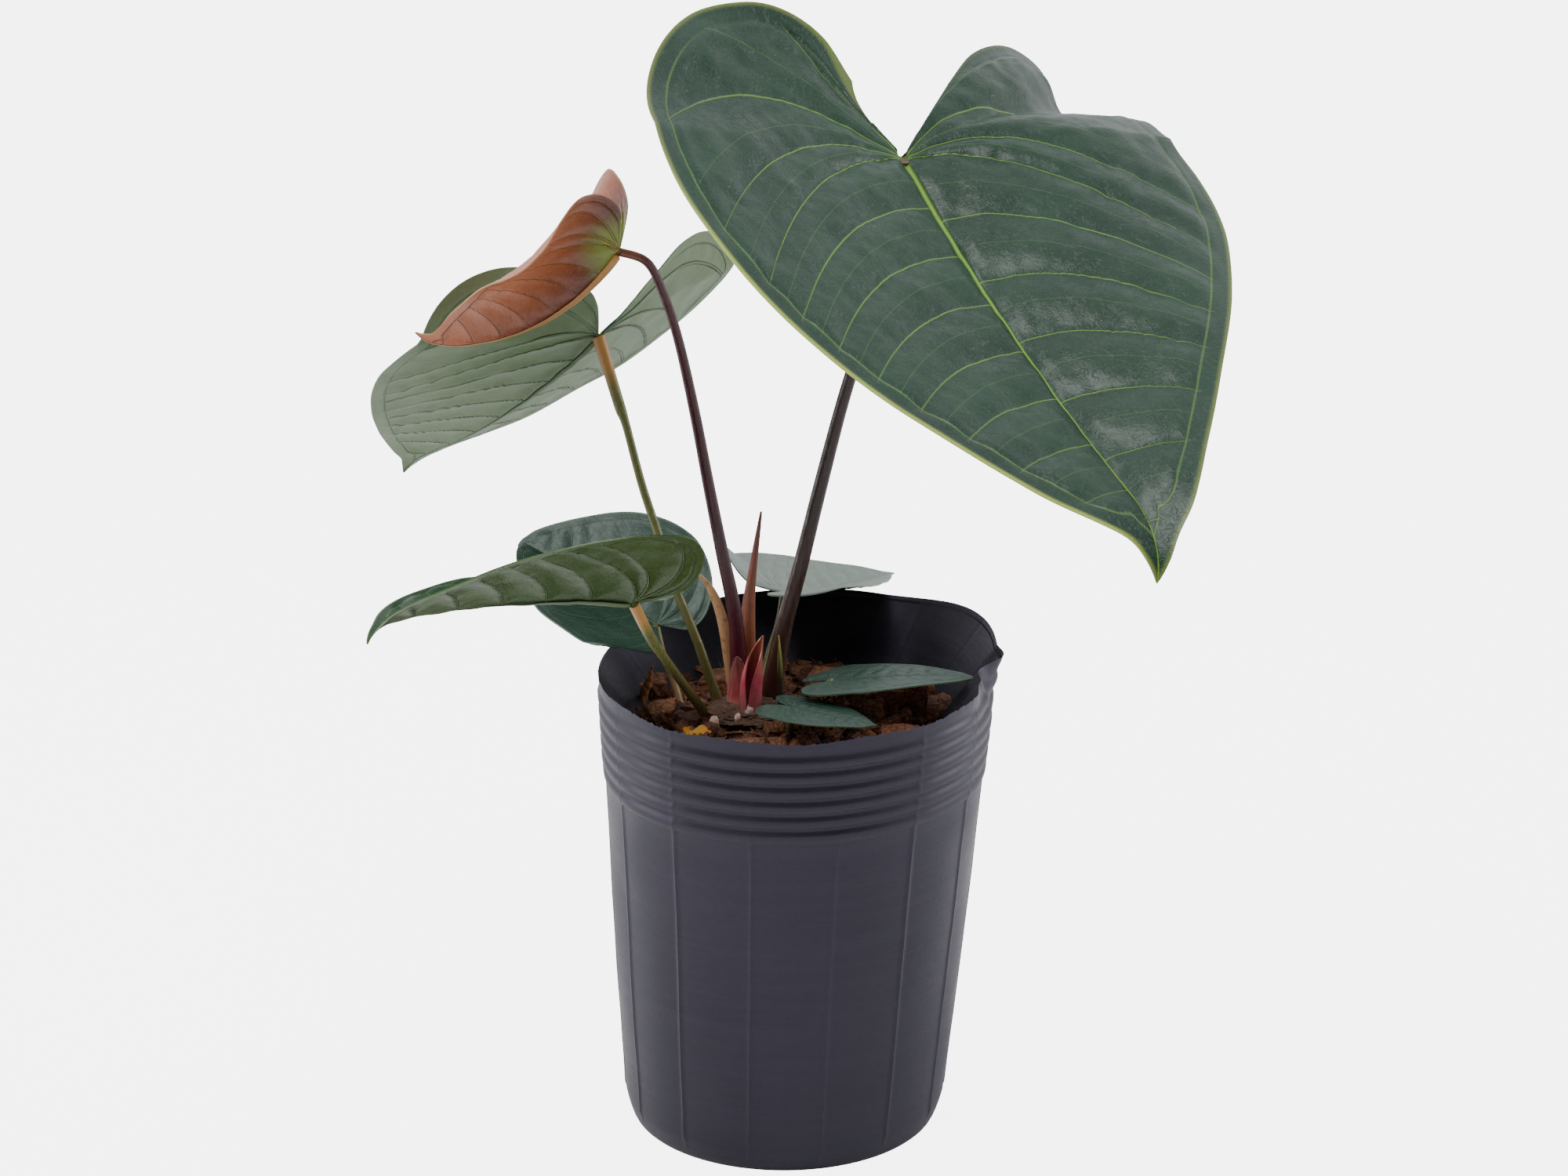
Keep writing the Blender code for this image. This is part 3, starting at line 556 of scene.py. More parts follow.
def leaf_paint(name, length, colours, rough, line, waxy, raised, seam, tint):
    """Leaf skin: a body colour with veins, veinlets and a pale margin that follow the blade.

    The veins stand out when raised is 1 and are sunk when it is -1; seam weakens the veinlets.
    """
    deep, fresh, vein, rim = colours
    size = length / MM
    paint = Paint(name, deep, Specular_IOR_Level=0.32, Coat_Roughness=0.22)
    number, margin, _ = paint.parts(paint.map("veins"))
    gap, wide, _ = paint.parts(paint.map("gauge"))
    along, across, _ = paint.parts(paint.map("flat"))
    flat = paint.stretch(paint.map("flat"), (size / 100, size / 100, 1.0))
    mottle = paint.noise(flat, 2.2, 3.0)
    body = paint.mix(paint.step(mottle, 0.3, 0.75, 0.15, 0.75), deep, fresh)
    if tint is not None:
        body = tint(paint, along, across)
    drift = paint.noise(flat, 9.0, 3.0)
    web = paint.cells(paint.node("ShaderNodeVectorMath", {"operation": "ADD"}, [flat, drift]), 17.0)
    veinlet = paint.step(web, 0.0, 0.075, 1.0, 0.0)
    side = number.rounded_gap() * gap
    between = (number + 0.5).rounded_gap() * gap
    inside = paint.step(margin, 0.018 * size, 0.045 * size)
    width = (0.0034 * size) * line
    lateral = paint.step(side, width * 0.35, width, 1.0, 0.0) * inside
    minor = paint.step(between, 0.0, width * 0.8, 1.0, 0.0) * inside
    taper = paint.step(along, -0.1, 0.75, 0.0070 * size, 0.0018 * size)
    rib = paint.step(wide / taper, 0.5, 1.15, 1.0, 0.0) * paint.step(along, -0.03, 0.01)
    ring = paint.step((margin - 0.034 * size).maths("ABSOLUTE"), 0.0, 0.0032 * size, 1.0, 0.0)
    ring = ring * paint.step(along, -0.28, -0.1)
    fade = paint.step(margin, 0.02 * size, 0.22 * size, 0.45, 1.0)
    specks = paint.step(paint.noise(flat, 150.0, 2.0), 0.70, 0.78)
    colour = paint.mix(veinlet * (0.05 * seam), body, vein)
    colour = paint.mix(specks * (0.12 * seam), colour, (0.35, 0.42, 0.36))
    colour = paint.mix(minor * (0.14 * seam), colour, vein)
    colour = paint.mix(ring * 0.34, colour, vein)
    colour = paint.mix(lateral * fade * 0.66, colour, vein)
    turning = paint.step(across, 0.02, -0.08, 0.35, 1.0) * paint.step(along, 0.0, 0.3, 0.35, 1.0)
    colour = paint.mix(paint.step(margin, 0.0, 0.010 * size, 0.75, 0.0) * turning, colour, rim)
    colour = paint.mix(rib * 0.92, colour, vein)
    paint.set("Base Color", colour)
    paint.set("Roughness", paint.step(mottle, 0.2, 0.8, rough - 0.05, rough + 0.08))
    paint.set("Coat Weight", paint.step(mottle, 0.2, 0.8, waxy * 0.7, waxy))
    lines = (lateral * 0.8).maths("MAXIMUM", rib).maths("MAXIMUM", ring * 0.5)
    pucker = paint.step(web, 0.0, 0.34)
    skin = paint.noise(flat, 60.0, 3.0)
    comb = (wide * (6.0 / (0.1 * size)) + drift * 5.0).maths("SINE") * paint.step(side / gap, 0.02, 0.3)
    height = lines * (0.55 * raised) + pucker * 0.10 + comb * inside * 0.20 + skin * 0.05
    ridges = paint.bump(lines, 0.0006, 0.9) if raised > 0 else None
    paint.set("Normal", paint.bump(height, 0.0009, 0.75, ridges))
    return paint


# ---------------------------------------------------------------- the eight leaves

LEAF_SHAPES = {
    "large": Blade((43.4, -13.8, 386.0), -66, 26, -18, 0.226, 1.06, 1.01, -11, -76, 65, 14,
                   (29, -2), (29, -5), (-20, -11), (0.54, -0.11), notch=0.15, laterals=(0.150, 0.118)),
    "bronze": Blade((-59.7, -24.0, 354.3), 170, 58, 9, 0.094, 1.05, 0.66, -60, -18, -44, 10,
                    (76, 62), (95, 50), (0, 0)),
    "pale": Blade((-69.7, 44.0, 298.4), 135, 44, 18, 0.149, 1.17, 0.64, -20, -56, 31, 11,
                  (-6, 25), (-2, -2), (32, 18)),
    "folded": Blade((-54.9, -55.2, 230.0), 194, -10, 23, 0.104, 1.04, 0.65, 19, -20, 54, -11,
                    (30, 20), (6, 20), (4, 0), laterals=(0.16, 0.16)),
    "round": Blade((-48.7, 28.0, 188.1), 136, -13, -29, 0.081, 1.04, 0.75, 7, -24, 47, -7,
                   (17, 19), (-35, -45), (12, 3), (0.18, -0.08)),
    "back": Blade((0.0, 55.0, 190.5), 45, 14, -4, 0.062, 1.06, 1.0, -12, -11, 9, 2,
                  (18, 12), (0, -6), (20, -8)),
    "low": Blade((18.3, 0.0, 176.5), 0, -7, -6, 0.056, 0.80, 0.70, 12, 11, -2, 5,
                 (2, 4), (12, 6), (-8, -2)),
    "front": Blade((3.4, -21.0, 174.6), -30, 0, -5, 0.036, 1.0, 1.0, 2, 2, -20, 4,
                   (2, 0), (15, 0), (3, -6)),
}
# Steps round each half, rings, then millimetres: quilting, midrib groove, blade and midrib thickness.
LEAF_BUILD = {
    "large": (150, 96, 2.0, 1.2, 0.7, 2.6), "bronze": (84, 56, 0.7, 0.5, 0.5, 1.7),
    "pale": (96, 60, 1.1, 0.7, 0.6, 2.2), "folded": (84, 52, 1.5, 0.6, 0.6, 1.9),
    "round": (72, 44, 0.8, 0.5, 0.6, 1.6), "back": (60, 36, 0.5, 0.4, 0.6, 1.4),
    "low": (60, 32, 0.5, 0.3, 0.6, 1.2), "front": (56, 32, 0.7, 0.3, 0.6, 1.1),
}
# Where a blade buckles: degrees round from its tip, half width, height in millimetres, how sudden.
LEAF_FOLDS = {
    "large": [(114.0, 6.0, -13.0, 2.0), (100.0, 8.0, 4.0, 2.0), (-120.0, 12.0, 3.0, 2.0)],
}

DEEP = (0.0050, 0.0235, 0.0135)
FRESH = (0.0090, 0.040, 0.0190)
LIME = (0.15, 0.30, 0.035)
YELLOW_RIM = (0.42, 0.52, 0.075)
GREY_GREEN = (0.120, 0.175, 0.085)


def bronze_tint(paint, along, across):
    """Copper towards the tip, dark purple-brown along the midrib and at the base, lime where it is held."""
    spread = (across.maths("ABSOLUTE") * 2.2) + along * 0.75
    colour = paint.ramp(spread, [(0.0, (0.055, 0.014, 0.012)), (0.22, (0.125, 0.032, 0.018)),
                                 (0.5, (0.27, 0.075, 0.028)), (0.85, (0.46, 0.155, 0.075))])
    lime = paint.step((along * along + across * across).maths("SQRT"), 0.05, 0.2, 1.0, 0.0)
    return paint.mix(lime * 0.8, colour, (0.19, 0.26, 0.035))


# The four colours of a skin: deep, fresh, its veins and its rim.
GLOSSY_SHADES = (DEEP, FRESH, LIME, LIME)
LARGE_SHADES = (DEEP, FRESH, LIME, YELLOW_RIM)
LARGE_UNDER = ((0.05, 0.11, 0.045), (0.07, 0.14, 0.06), (0.14, 0.2, 0.06), (0.3, 0.36, 0.08))
BRONZE_SHADES = ((0.12, 0.03, 0.02), (0.2, 0.06, 0.03), (0.42, 0.20, 0.06), (0.50, 0.42, 0.12))
PALE_UNDER = (GREY_GREEN, (0.155, 0.215, 0.115), (0.075, 0.13, 0.055), (0.16, 0.22, 0.11))
FOLDED_UNDER = ((0.030, 0.058, 0.012), (0.048, 0.085, 0.018), (0.075, 0.115, 0.035), (0.15, 0.21, 0.07))
# The back leaf's upper skin is painted light grey-green: a painted sheen, the white studio's reflection laid
# into its colour.
BACK_PAINTED_SHEEN_SHADES = ((0.20, 0.25, 0.22), (0.25, 0.30, 0.27), (0.33, 0.38, 0.30), (0.3, 0.36, 0.26))
BACK_UNDER = ((0.010, 0.030, 0.014), (0.016, 0.045, 0.02), (0.03, 0.07, 0.03), (0.06, 0.10, 0.05))
SMALL_SHADES = ((0.026, 0.062, 0.046), (0.045, 0.092, 0.066), (0.13, 0.21, 0.13), (0.19, 0.29, 0.16))
SMALL_UNDER = ((0.035, 0.075, 0.035), (0.05, 0.10, 0.045), (0.10, 0.16, 0.06), (0.14, 0.2, 0.08))
SMALL_SKINS = ((SMALL_SHADES, 0.42, 0.9, 0.15), (SMALL_UNDER, 0.48, 1.0, 0.0))
# The upper and the under skin: colours, roughness, how broad the veins are, how waxy it is.
LEAF_SKINS = {
    "large": ((LARGE_SHADES, 0.33, 0.62, 0.14), (LARGE_UNDER, 0.5, 0.9, 0.0)),
    "bronze": ((BRONZE_SHADES, 0.30, 0.9, 0.3), (BRONZE_SHADES, 0.30, 0.8, 0.35)),
    "pale": ((GLOSSY_SHADES, 0.34, 1.0, 0.2), (PALE_UNDER, 0.52, 1.5, 0.0)),
    "folded": ((GLOSSY_SHADES, 0.34, 1.0, 0.2), (FOLDED_UNDER, 0.34, 1.2, 0.2)),
    "back": ((BACK_PAINTED_SHEEN_SHADES, 0.45, 0.8, 0.0), (BACK_UNDER, 0.45, 1.0, 0.0)),
    "round": SMALL_SKINS,
    "low": SMALL_SKINS,
    "front": SMALL_SKINS,
}


def leaf_paints(kind, length):
    """The upper and the under skin of a leaf: its veins are sunk above and stand out below."""
    prefix = "bronze" if kind == "bronze" else kind + "_leaf"
    tint = bronze_tint if kind == "bronze" else None
    seam = 0.5 if kind == "pale" else 1.0
    upper, under = LEAF_SKINS[kind]
    top = leaf_paint(prefix + "_upper", length, *upper, -1.0, 1.0, tint)
    return top, leaf_paint(prefix + "_under", length, *under, 1.0, seam, tint)


LEAF_SLOTS = {"bronze": "leaf_bronze", "pale": "leaf_pale", "back": "leaf_pale"}


# ---------------------------------------------------------------- stalks and the crown


def stalk_paint(name, top, low, middle, high, joint, reach):
    """A stalk's skin: its colour changes with height, and near the blade it turns to the joint's colour."""
    paint = Paint(name, middle, Coat_Roughness=0.2, Specular_IOR_Level=0.3)
    spot = paint.place()
    level = paint.parts(spot)[2]
    climb = (level - low[0]) / (high[0] - low[0])
    colour = paint.ramp(climb, [(0.0, low[1]), (0.35, middle), (1.0, high[1])])
    near = paint.node("ShaderNodeVectorMath", {"operation": "DISTANCE"}, {0: spot, 1: top}, output=1)
    colour = paint.mix(paint.step(near, reach * 0.45, reach, 1.0, 0.0), colour, joint)
    streaks = paint.noise(paint.stretch(spot, (900.0, 900.0, 45.0)), 1.0, 3.0)
    specks = paint.noise(spot, 950.0, 2.0)
    colour = paint.mix(paint.step(streaks, 0.42, 0.8, 0.0, 0.22), colour, joint)
    paint.set("Base Color", paint.mix(paint.step(specks, 0.62, 0.8, 0.0, 0.35), colour, joint))
    paint.set("Roughness", paint.step(streaks, 0.3, 0.7, 0.26, 0.42))
    paint.set("Coat Weight", paint.step(streaks, 0.3, 0.7, 0.14, 0.05))
    paint.set("Normal", paint.bump(streaks * 0.7 + specks * 0.3, 0.0003, 0.7))
    return paint


# Stations of each stalk from its foot: x, y, z and radius in millimetres. The last one is at the blade.
STALKS = {
    "large": [(-4.6, 3.0, 164.0, 4.6), (-4.2, 3.0, 174.0, 3.9), (0.0, 3.0, 197.0, 3.2),
              (6.3, 3.5, 222.0, 2.9), (13.5, 3.5, 253.0, 2.7), (21.8, 1.5, 287.5, 2.4),
              (31.4, -2.0, 322.5, 2.3), (38.4, -7.5, 354.0, 2.2), (42.2, -12.0, 376.0, 2.5)],
    "bronze": [(-16.4, -1.6, 162.0, 4.2), (-16.8, -2.0, 173.0, 3.6), (-18.0, -3.2, 202.0, 2.8),
               (-23.3, -5.0, 231.5, 2.4), (-27.8, -7.0, 257.0, 2.2), (-33.2, -10.0, 289.0, 2.0),
               (-38.9, -14.0, 318.0, 1.8), (-44.6, -18.0, 338.0, 1.7), (-50.0, -21.5, 349.6, 1.6),
               (-54.6, -23.5, 353.6, 1.6)],
    "pale": [(-21.5, 9.2, 156.0, 2.4), (-27.0, 10.6, 170.0, 2.0), (-32.5, 12.0, 187.0, 1.8),
             (-41.3, 16.0, 209.0, 1.7), (-46.4, 20.0, 225.0, 1.65), (-53.3, 28.0, 244.2, 1.6),
             (-59.1, 35.0, 265.0, 1.6), (-61.4, 37.3, 271.5, 2.1), (-64.6, 40.3, 281.5, 2.2),
             (-66.8, 42.4, 290.0, 2.5)],
    "folded": [(-24.0, -1.0, 154.0, 2.4), (-28.6, -4.0, 163.0, 2.1), (-35.5, -15.0, 178.0, 1.8),
               (-43.6, -33.0, 198.0, 1.8), (-48.9, -43.0, 211.0, 2.0), (-53.6, -53.0, 224.5, 2.1)],
    "round": [(-36.0, 10.0, 152.0, 1.9), (-38.5, 13.0, 158.5, 1.7), (-42.2, 18.5, 169.5, 1.5),
              (-45.8, 23.0, 177.5, 1.4), (-48.2, 27.0, 184.6, 1.5)],
    "back": [(-11.0, 9.0, 156.0, 1.9), (-9.5, 14.0, 164.0, 1.7), (-6.0, 28.0, 175.0, 1.4),
             (-2.4, 42.0, 182.0, 1.3), (-0.6, 51.0, 186.6, 1.4)],
    "low": [(1.0, 11.0, 157.0, 1.6), (4.5, 8.0, 163.0, 1.4), (9.0, 4.5, 169.5, 1.3),
            (14.5, 1.5, 173.4, 1.3)],
    "front": [(1.0, -20.0, 154.0, 1.5), (2.0, -21.0, 165.0, 1.3), (3.4, -21.0, 171.6, 1.3)],
}
WINE = (0.036, 0.006, 0.011)
DARK_BROWN = (0.022, 0.009, 0.008)
OLIVE = (0.105, 0.115, 0.035)
OLIVE_FOOT = (0.155, (0.105, 0.085, 0.030))
OLIVE_HEAD = (0.30, (0.12, 0.135, 0.045))
JOINT_ORANGE = (0.36, 0.185, 0.050)
JOINT_OLIVE = (0.20, 0.20, 0.08)


# Foot and its colour, middle colour, head and its colour, the joint's colour and how far it reaches.
STALK_SKINS = {
    "large": ((0.165, (0.060, 0.022, 0.013)), DARK_BROWN, (0.38, (0.034, 0.016, 0.013)),
              (0.10, 0.055, 0.035), 0.018),
    "bronze": ((0.165, (0.085, 0.008, 0.016)), WINE, (0.36, (0.060, 0.012, 0.014)),
               (0.14, 0.045, 0.030), 0.012),
    "pale": (OLIVE_FOOT, OLIVE, OLIVE_HEAD, JOINT_ORANGE, 0.024),
    "folded": (OLIVE_FOOT, OLIVE, OLIVE_HEAD, JOINT_ORANGE, 0.020),
    "round": ((0.155, (0.36, 0.20, 0.10)), OLIVE, OLIVE_HEAD, JOINT_OLIVE, 0.010),
}
PLAIN_STALK_SKIN = (OLIVE_FOOT, OLIVE, OLIVE_HEAD, JOINT_OLIVE, 0.010)


def sheath_paint(name, foot, middle, tip, rough, dry=0.0):
    """A sheath's skin: its colour runs from foot to tip along the piece, with fine lengthwise veins."""
    paint = Paint(name, middle, Coat_Roughness=0.3)
    along = paint.parts(paint.map("along"))[0]
    colour = paint.ramp(along, [(0.0, foot), (0.45, middle), (1.0, tip)])
    lines = paint.noise(paint.stretch(paint.map("along"), (3.0, 46.0, 1.0)), 1.0, 3.0)
    spots = paint.noise(paint.place(), 330.0, 3.0)
    colour = paint.mix(paint.step(lines, 0.4, 0.7, 0.0, 0.45), colour, foot)
    colour = paint.mix(paint.step(spots, 0.52, 0.75, 0.0, 0.25 + 0.4 * dry), colour, (0.10, 0.045, 0.02))
    paint.set("Base Color", colour)
    paint.set("Roughness", paint.step(lines, 0.3, 0.7, rough - 0.08, rough + 0.12))
    paint.set("Coat Weight", paint.step(lines, 0.3, 0.7, 0.25 * (1 - dry), 0.1 * (1 - dry)))
    paint.set("Normal", paint.bump(lines * 0.7 + spots * 0.3, 0.0005, 0.8))
    return paint


# Each scale leaf: its stations as in STALKS, its colours at foot, middle and tip, where its roll is centred
# and how far it goes in degrees, its slot, how dry it is, and how much of its roll is gone at its tip.
SHEATHS = {
    "spike_sheath": (
        [(-14.0, 6.8, 163.0, 3.2), (-14.0, 6.9, 178.0, 3.0), (-13.6, 7.1, 200.0, 2.3),
         (-11.9, 7.7, 217.0, 1.3), (-8.5, 8.0, 241.5, 0.3)],
        (0.34, 0.075, 0.045), (0.33, 0.105, 0.045), (0.085, 0.018, 0.02), -90, 330, "sheath_tan", 0.3, 0.75),
    "red_bud": (
        [(-12.5, -9.6, 166.0, 2.9), (-12.3, -9.6, 174.0, 3.7), (-11.8, -9.6, 182.0, 3.5),
         (-10.4, -9.7, 190.5, 2.1), (-8.0, -10.0, 198.5, 0.3)],
        (0.42, 0.13, 0.14), (0.40, 0.035, 0.070), (0.42, 0.13, 0.035), 70, 350, "sheath_red", 0.0, 0.75),
    "dried_sheath": (
        [(-18.5, 7.4, 164.0, 1.9), (-20.2, 7.7, 180.0, 2.0), (-23.0, 8.5, 199.0, 2.1),
         (-27.5, 9.0, 212.0, 1.9), (-33.8, 9.0, 218.5, 0.5)],
        (0.36, 0.17, 0.075), (0.50, 0.27, 0.12), (0.55, 0.33, 0.17), 200, 250, "sheath_tan", 1.0, 0.75),
    "stalk_sheath": (
        [(-16.3, -2.2, 163.0, 4.9), (-16.7, -2.3, 170.0, 4.6), (-17.2, -2.6, 179.0, 3.9),
         (-17.8, -3.1, 189.0, 3.3)],
        (0.72, 0.36, 0.26), (0.38, 0.060, 0.070), (0.10, 0.012, 0.022), 275, 185, "sheath_red", 0.0, 0.97),
    "green_shoot": (
        [(-1.0, -5.5, 165.0, 0.9), (-1.3, -5.5, 176.0, 0.8), (-1.6, -5.6, 186.0, 0.7),
         (-2.2, -5.6, 197.0, 0.2)],
        (0.030, 0.014, 0.010), (0.045, 0.028, 0.012), (0.46, 0.48, 0.10), 30, 320, "shoot_green", 0.0, 0.75),
}


def bark_paint(name, dark, light, scale, orange=None):
    """Broken bark or fibre: streaky layers, pits and dust, with a tone of its own for each chip."""
    paint = Paint(name, light)
    spot = paint.place()
    tone = paint.parts(paint.map("tone"))[0]
    streak = paint.noise(paint.stretch(spot, (scale, scale * 0.3, scale)), 1.0, 4.0, 0.65)
    pits = paint.cells(spot, scale * 0.9)
    colour = paint.ramp(streak * 0.55 + tone * 0.55, [(0.12, dark), (0.5, light), (0.92, orange or light)])
    colour = paint.mix(paint.step(pits, 0.0, 0.16, 0.6, 0.0), colour, dark)
    dust = paint.noise(spot, scale * 1.7, 3.0)
    paint.set("Base Color", paint.mix(paint.step(dust, 0.62, 0.8, 0.0, 0.35), colour, orange or light))
    paint.set("Roughness", paint.step(streak, 0.2, 0.8, 0.62, 0.92))
    paint.set("Normal", paint.bump(streak * 0.6 + pits * 0.8, 0.0012, 0.9))
    return paint


# ---------------------------------------------------------------- the soft pot

POT_HEIGHT = 0.182
RIM_RADIUS = 0.0745
HEEL_RADIUS = 0.061
FOOT_RADIUS = 0.057
HEEL_HEIGHT = 0.010
WALL = 0.0009
RIDGES = 6
RIDGE_PITCH = 0.0061
FIRST_RIDGE = 0.0086
RIDGE_RISE = 0.0010
RIB_COUNT = 14
RIB_RISE = 0.0005
RING_FOOT = POT_HEIGHT - FIRST_RIDGE - (RIDGES - 0.5) * RIDGE_PITCH
TOP_LEAN = 0.005
TOP_TILT = math.tan(math.radians(1.2))
DRAIN_INNER = 0.038
DRAIN_OUTER = 0.047
COLUMNS = RIB_COUNT * 40


def wall_radius(z):
    z = np.asarray(z, dtype=float)
    heel = FOOT_RADIUS + (HEEL_RADIUS - FOOT_RADIUS) * np.clip(z / HEEL_HEIGHT, 0, 1) ** 0.6
    taper = HEEL_RADIUS + (RIM_RADIUS - HEEL_RADIUS) * (z - HEEL_HEIGHT) / (POT_HEIGHT - HEEL_HEIGHT)
    return np.where(z < HEEL_HEIGHT, heel, taper)


def hump(angle, centre, half_width):
    """A smooth hump, one at the centre and nothing past the half width. Angles in degrees."""
    turn = (angle - centre + 180) % 360 - 180
    return np.cos(np.minimum(np.abs(turn) / half_width, 1) * math.pi / 2) ** 2


def softened(points):
    """Where the corners of a true round pot sit once the plastic has leaned, flared and crumpled."""
    x, y, z = points.T
    angle = np.degrees(np.arctan2(y, x))
    radius = np.hypot(x, y)
    share = z / POT_HEIGHT
    near_rim = np.maximum(0.0, 1 - (POT_HEIGHT - z) / 0.020) ** 2
    back, notch, corner = hump(angle, 75, 88), hump(angle, -13, 17), hump(angle, 30, 36)
    reach = radius + near_rim * (0.0030 * (back + corner) - 0.0050 * notch)
    reach -= near_rim * (0.0042 * hump(angle, -4, 8) - 0.0022 * hump(angle, 5, 6))
    turn = np.radians(angle)
    moved_x = reach * np.cos(turn) + TOP_LEAN * share
    rise = near_rim * (0.0040 * corner + 0.0010 * back - 0.0015 * notch)
    return np.stack([moved_x, reach * np.sin(turn), z + moved_x * TOP_TILT * share + rise], 1)


def pot_rings():
    """(radius, z) of each ring of the outside, from the middle of the floor out and up to the rim."""
    rings = [(DRAIN_INNER * 0.4, 0.0), (DRAIN_INNER, 0.0), (DRAIN_OUTER, 0.0), (FOOT_RADIUS * 0.97, 0.0)]
    levels = list(np.linspace(0, 1, 6) ** 1.6 * HEEL_HEIGHT)
    levels += list(np.linspace(HEEL_HEIGHT, RING_FOOT, 14)[1:-1])
    levels += list(np.linspace(RING_FOOT, RING_FOOT + RIDGES * RIDGE_PITCH, RIDGES * 8 + 1))
    levels += list(np.linspace(levels[-1], POT_HEIGHT, 6)[1:])
    for z in levels:
        phase = (z - RING_FOOT) / RIDGE_PITCH
        ridge = 1 - abs(math.cos(math.pi * phase)) ** 4 if 0 < phase < RIDGES else 0.0
        ridge = max(ridge, 0.3 * float(smoothstep(z, POT_HEIGHT - 0.0045, POT_HEIGHT - 0.002)))
        rings.append((float(wall_radius(z)) + RIDGE_RISE * ridge, z))
    return rings


def pot_paint():
    """Soft charcoal plastic with a violet cast: cloudy, faintly banded, scuffed and scraped."""
    violet = (0.80, 0.74, 1.0)
    paint = Paint("charcoal_plastic", (0.04, 0.038, 0.05), Specular_IOR_Level=0.42, Specular_Tint=violet)
    spot = paint.place()
    cloud = paint.noise(spot, 16.0, 3.0, 0.5, 0.4)
    bands = paint.noise(paint.stretch(spot, (12.0, 12.0, 260.0)), 1.0, 4.0)
    scuff = paint.noise(paint.stretch(spot, (210.0, 210.0, 900.0)), 1.0, 5.0, 0.7)
    peel = paint.noise(spot, 1400.0, 2.0)
    colour = paint.mix(paint.step(cloud, 0.3, 0.7), (0.0085, 0.0075, 0.0115), (0.0165, 0.0150, 0.0215))
    colour = paint.mix(paint.step(bands, 0.35, 0.75, 0.0, 0.25), colour, (0.024, 0.022, 0.030))
    colour = paint.mix(paint.step(scuff, 0.66, 0.84, 0.0, 0.22), colour, (0.10, 0.095, 0.115))
    scrape = paint.noise(paint.stretch(spot, (60.0, 60.0, 420.0)), 1.0, 6.0, 0.75, 1.5)
    paint.set("Base Color", paint.mix(paint.step(scrape, 0.70, 0.74, 0.0, 0.5), colour, (0.16, 0.15, 0.18)))
    paint.set("Roughness", (paint.step(cloud, 0.3, 0.7, 0.30, 0.44) + scuff * 0.10).clamp())
    paint.set("Normal", paint.bump(bands * 0.5 + peel * 0.12 + scuff * 0.2, 0.0006, 0.5))
    return paint


def make_pot(tear):
    """The pot: rings extruded from floor to rim, softened, cut ragged at the front, then a thin wall."""
    rings = pot_rings()
    nothing_selected()
    bpy.ops.mesh.primitive_circle_add(vertices=COLUMNS, radius=rings[0][0], fill_type="NOTHING")
    made = named("nursery_pot_wall", pot_paint())
    edit(made)
    bpy.ops.mesh.select_mode(type="VERT")
    bpy.ops.mesh.select_all(action="SELECT")
    for (radius, z), (wider, higher) in zip(rings, rings[1:]):
        bpy.ops.mesh.extrude_region_move(TRANSFORM_OT_translate={"value": (0.0, 0.0, higher - z)})
        grow = wider / radius
        bpy.ops.transform.resize(value=(grow, grow, 1.0), center_override=(0.0, 0.0, higher))
    bpy.ops.object.mode_set(mode="OBJECT")
    flat = corners(made)
    inner = np.hypot(flat[:, 0], flat[:, 1]) < rings[0][0] * 1.01
    for vertex, chosen in zip(made.data.vertices, inner):
        vertex.select = bool(chosen)
    bpy.ops.object.mode_set(mode="EDIT")
    bpy.ops.mesh.extrude_region_move()
    bpy.ops.mesh.merge(type="CENTER")
    bpy.ops.object.mode_set(mode="OBJECT")

    half_rib = 180 / RIB_COUNT

    def drained(polygon):
        x, y, z = polygon.center
        turn = (math.degrees(math.atan2(y, x)) + 90 - 3 * half_rib + 1.3) % (4 * half_rib)
        return z < 1e-5 and DRAIN_INNER < math.hypot(x, y) < DRAIN_OUTER and turn < half_rib + 1.3

    edit(made, drained)
    bpy.ops.mesh.delete(type="FACE")
    bpy.ops.object.mode_set(mode="OBJECT")

    points = corners(made)
    x, y, z = points.T
    angle = np.degrees(np.arctan2(y, x))
    radius = np.hypot(x, y)
    from_rib = np.abs((angle + 90) % (2 * half_rib) - half_rib)
    rib = RIB_RISE * np.exp(-((from_rib / 0.62) ** 2)) * smoothstep(z, HEEL_HEIGHT * 0.4, HEEL_HEIGHT)
    rib *= 0.25 + 0.75 * (1 - smoothstep(z, RING_FOOT - 0.001, RING_FOOT + 0.003))
    dents = grain(points, 15.0, 4.0) * 0.0009 * smoothstep(z, 0.004, 0.03) * (1 - smoothstep(z, 0.14, 0.15))
    ripple = grain(points, 55.0, 9.0) * 0.00022 * smoothstep(z, 0.002, 0.02)
    out = radius + np.where(z > 1e-6, rib + dents + ripple, 0.0)
    turn = np.radians(angle)
    chance = np.random.default_rng(12)
    teeth = chance.uniform(-0.45, 1.0, COLUMNS) * np.where(np.arange(COLUMNS) % 2, 1.0, 0.25)
    column = np.rint(angle / 360 * COLUMNS).astype(int) % COLUMNS
    torn = smoothstep(hump(angle, -88, 84), 0.0, 0.12)
    ragged = teeth[column] * torn * tear * smoothstep(z, POT_HEIGHT - 0.0015, POT_HEIGHT)
    long_wave = 0.0005 * np.sin(turn * 9) * torn * smoothstep(z, POT_HEIGHT - 0.006, POT_HEIGHT)
    out = out + ragged * 0.35
    made_round = np.stack([out * np.cos(turn), out * np.sin(turn), z], 1)
    moved = softened(made_round)
    moved[:, 2] += ragged + long_wave
    move_corners(made, moved)
    weld(made)
    wall = [polygon for polygon in made.data.polygons if polygon.center.z > 0.05]
    facing = sum(polygon.normal.xy.dot(polygon.center.xy) for polygon in wall)
    if facing < 0:
        flip(made)
    apply(made, "SOLIDIFY", thickness=WALL, offset=-1.0, use_even_offset=True)
    smooth(made, 40)
    return made


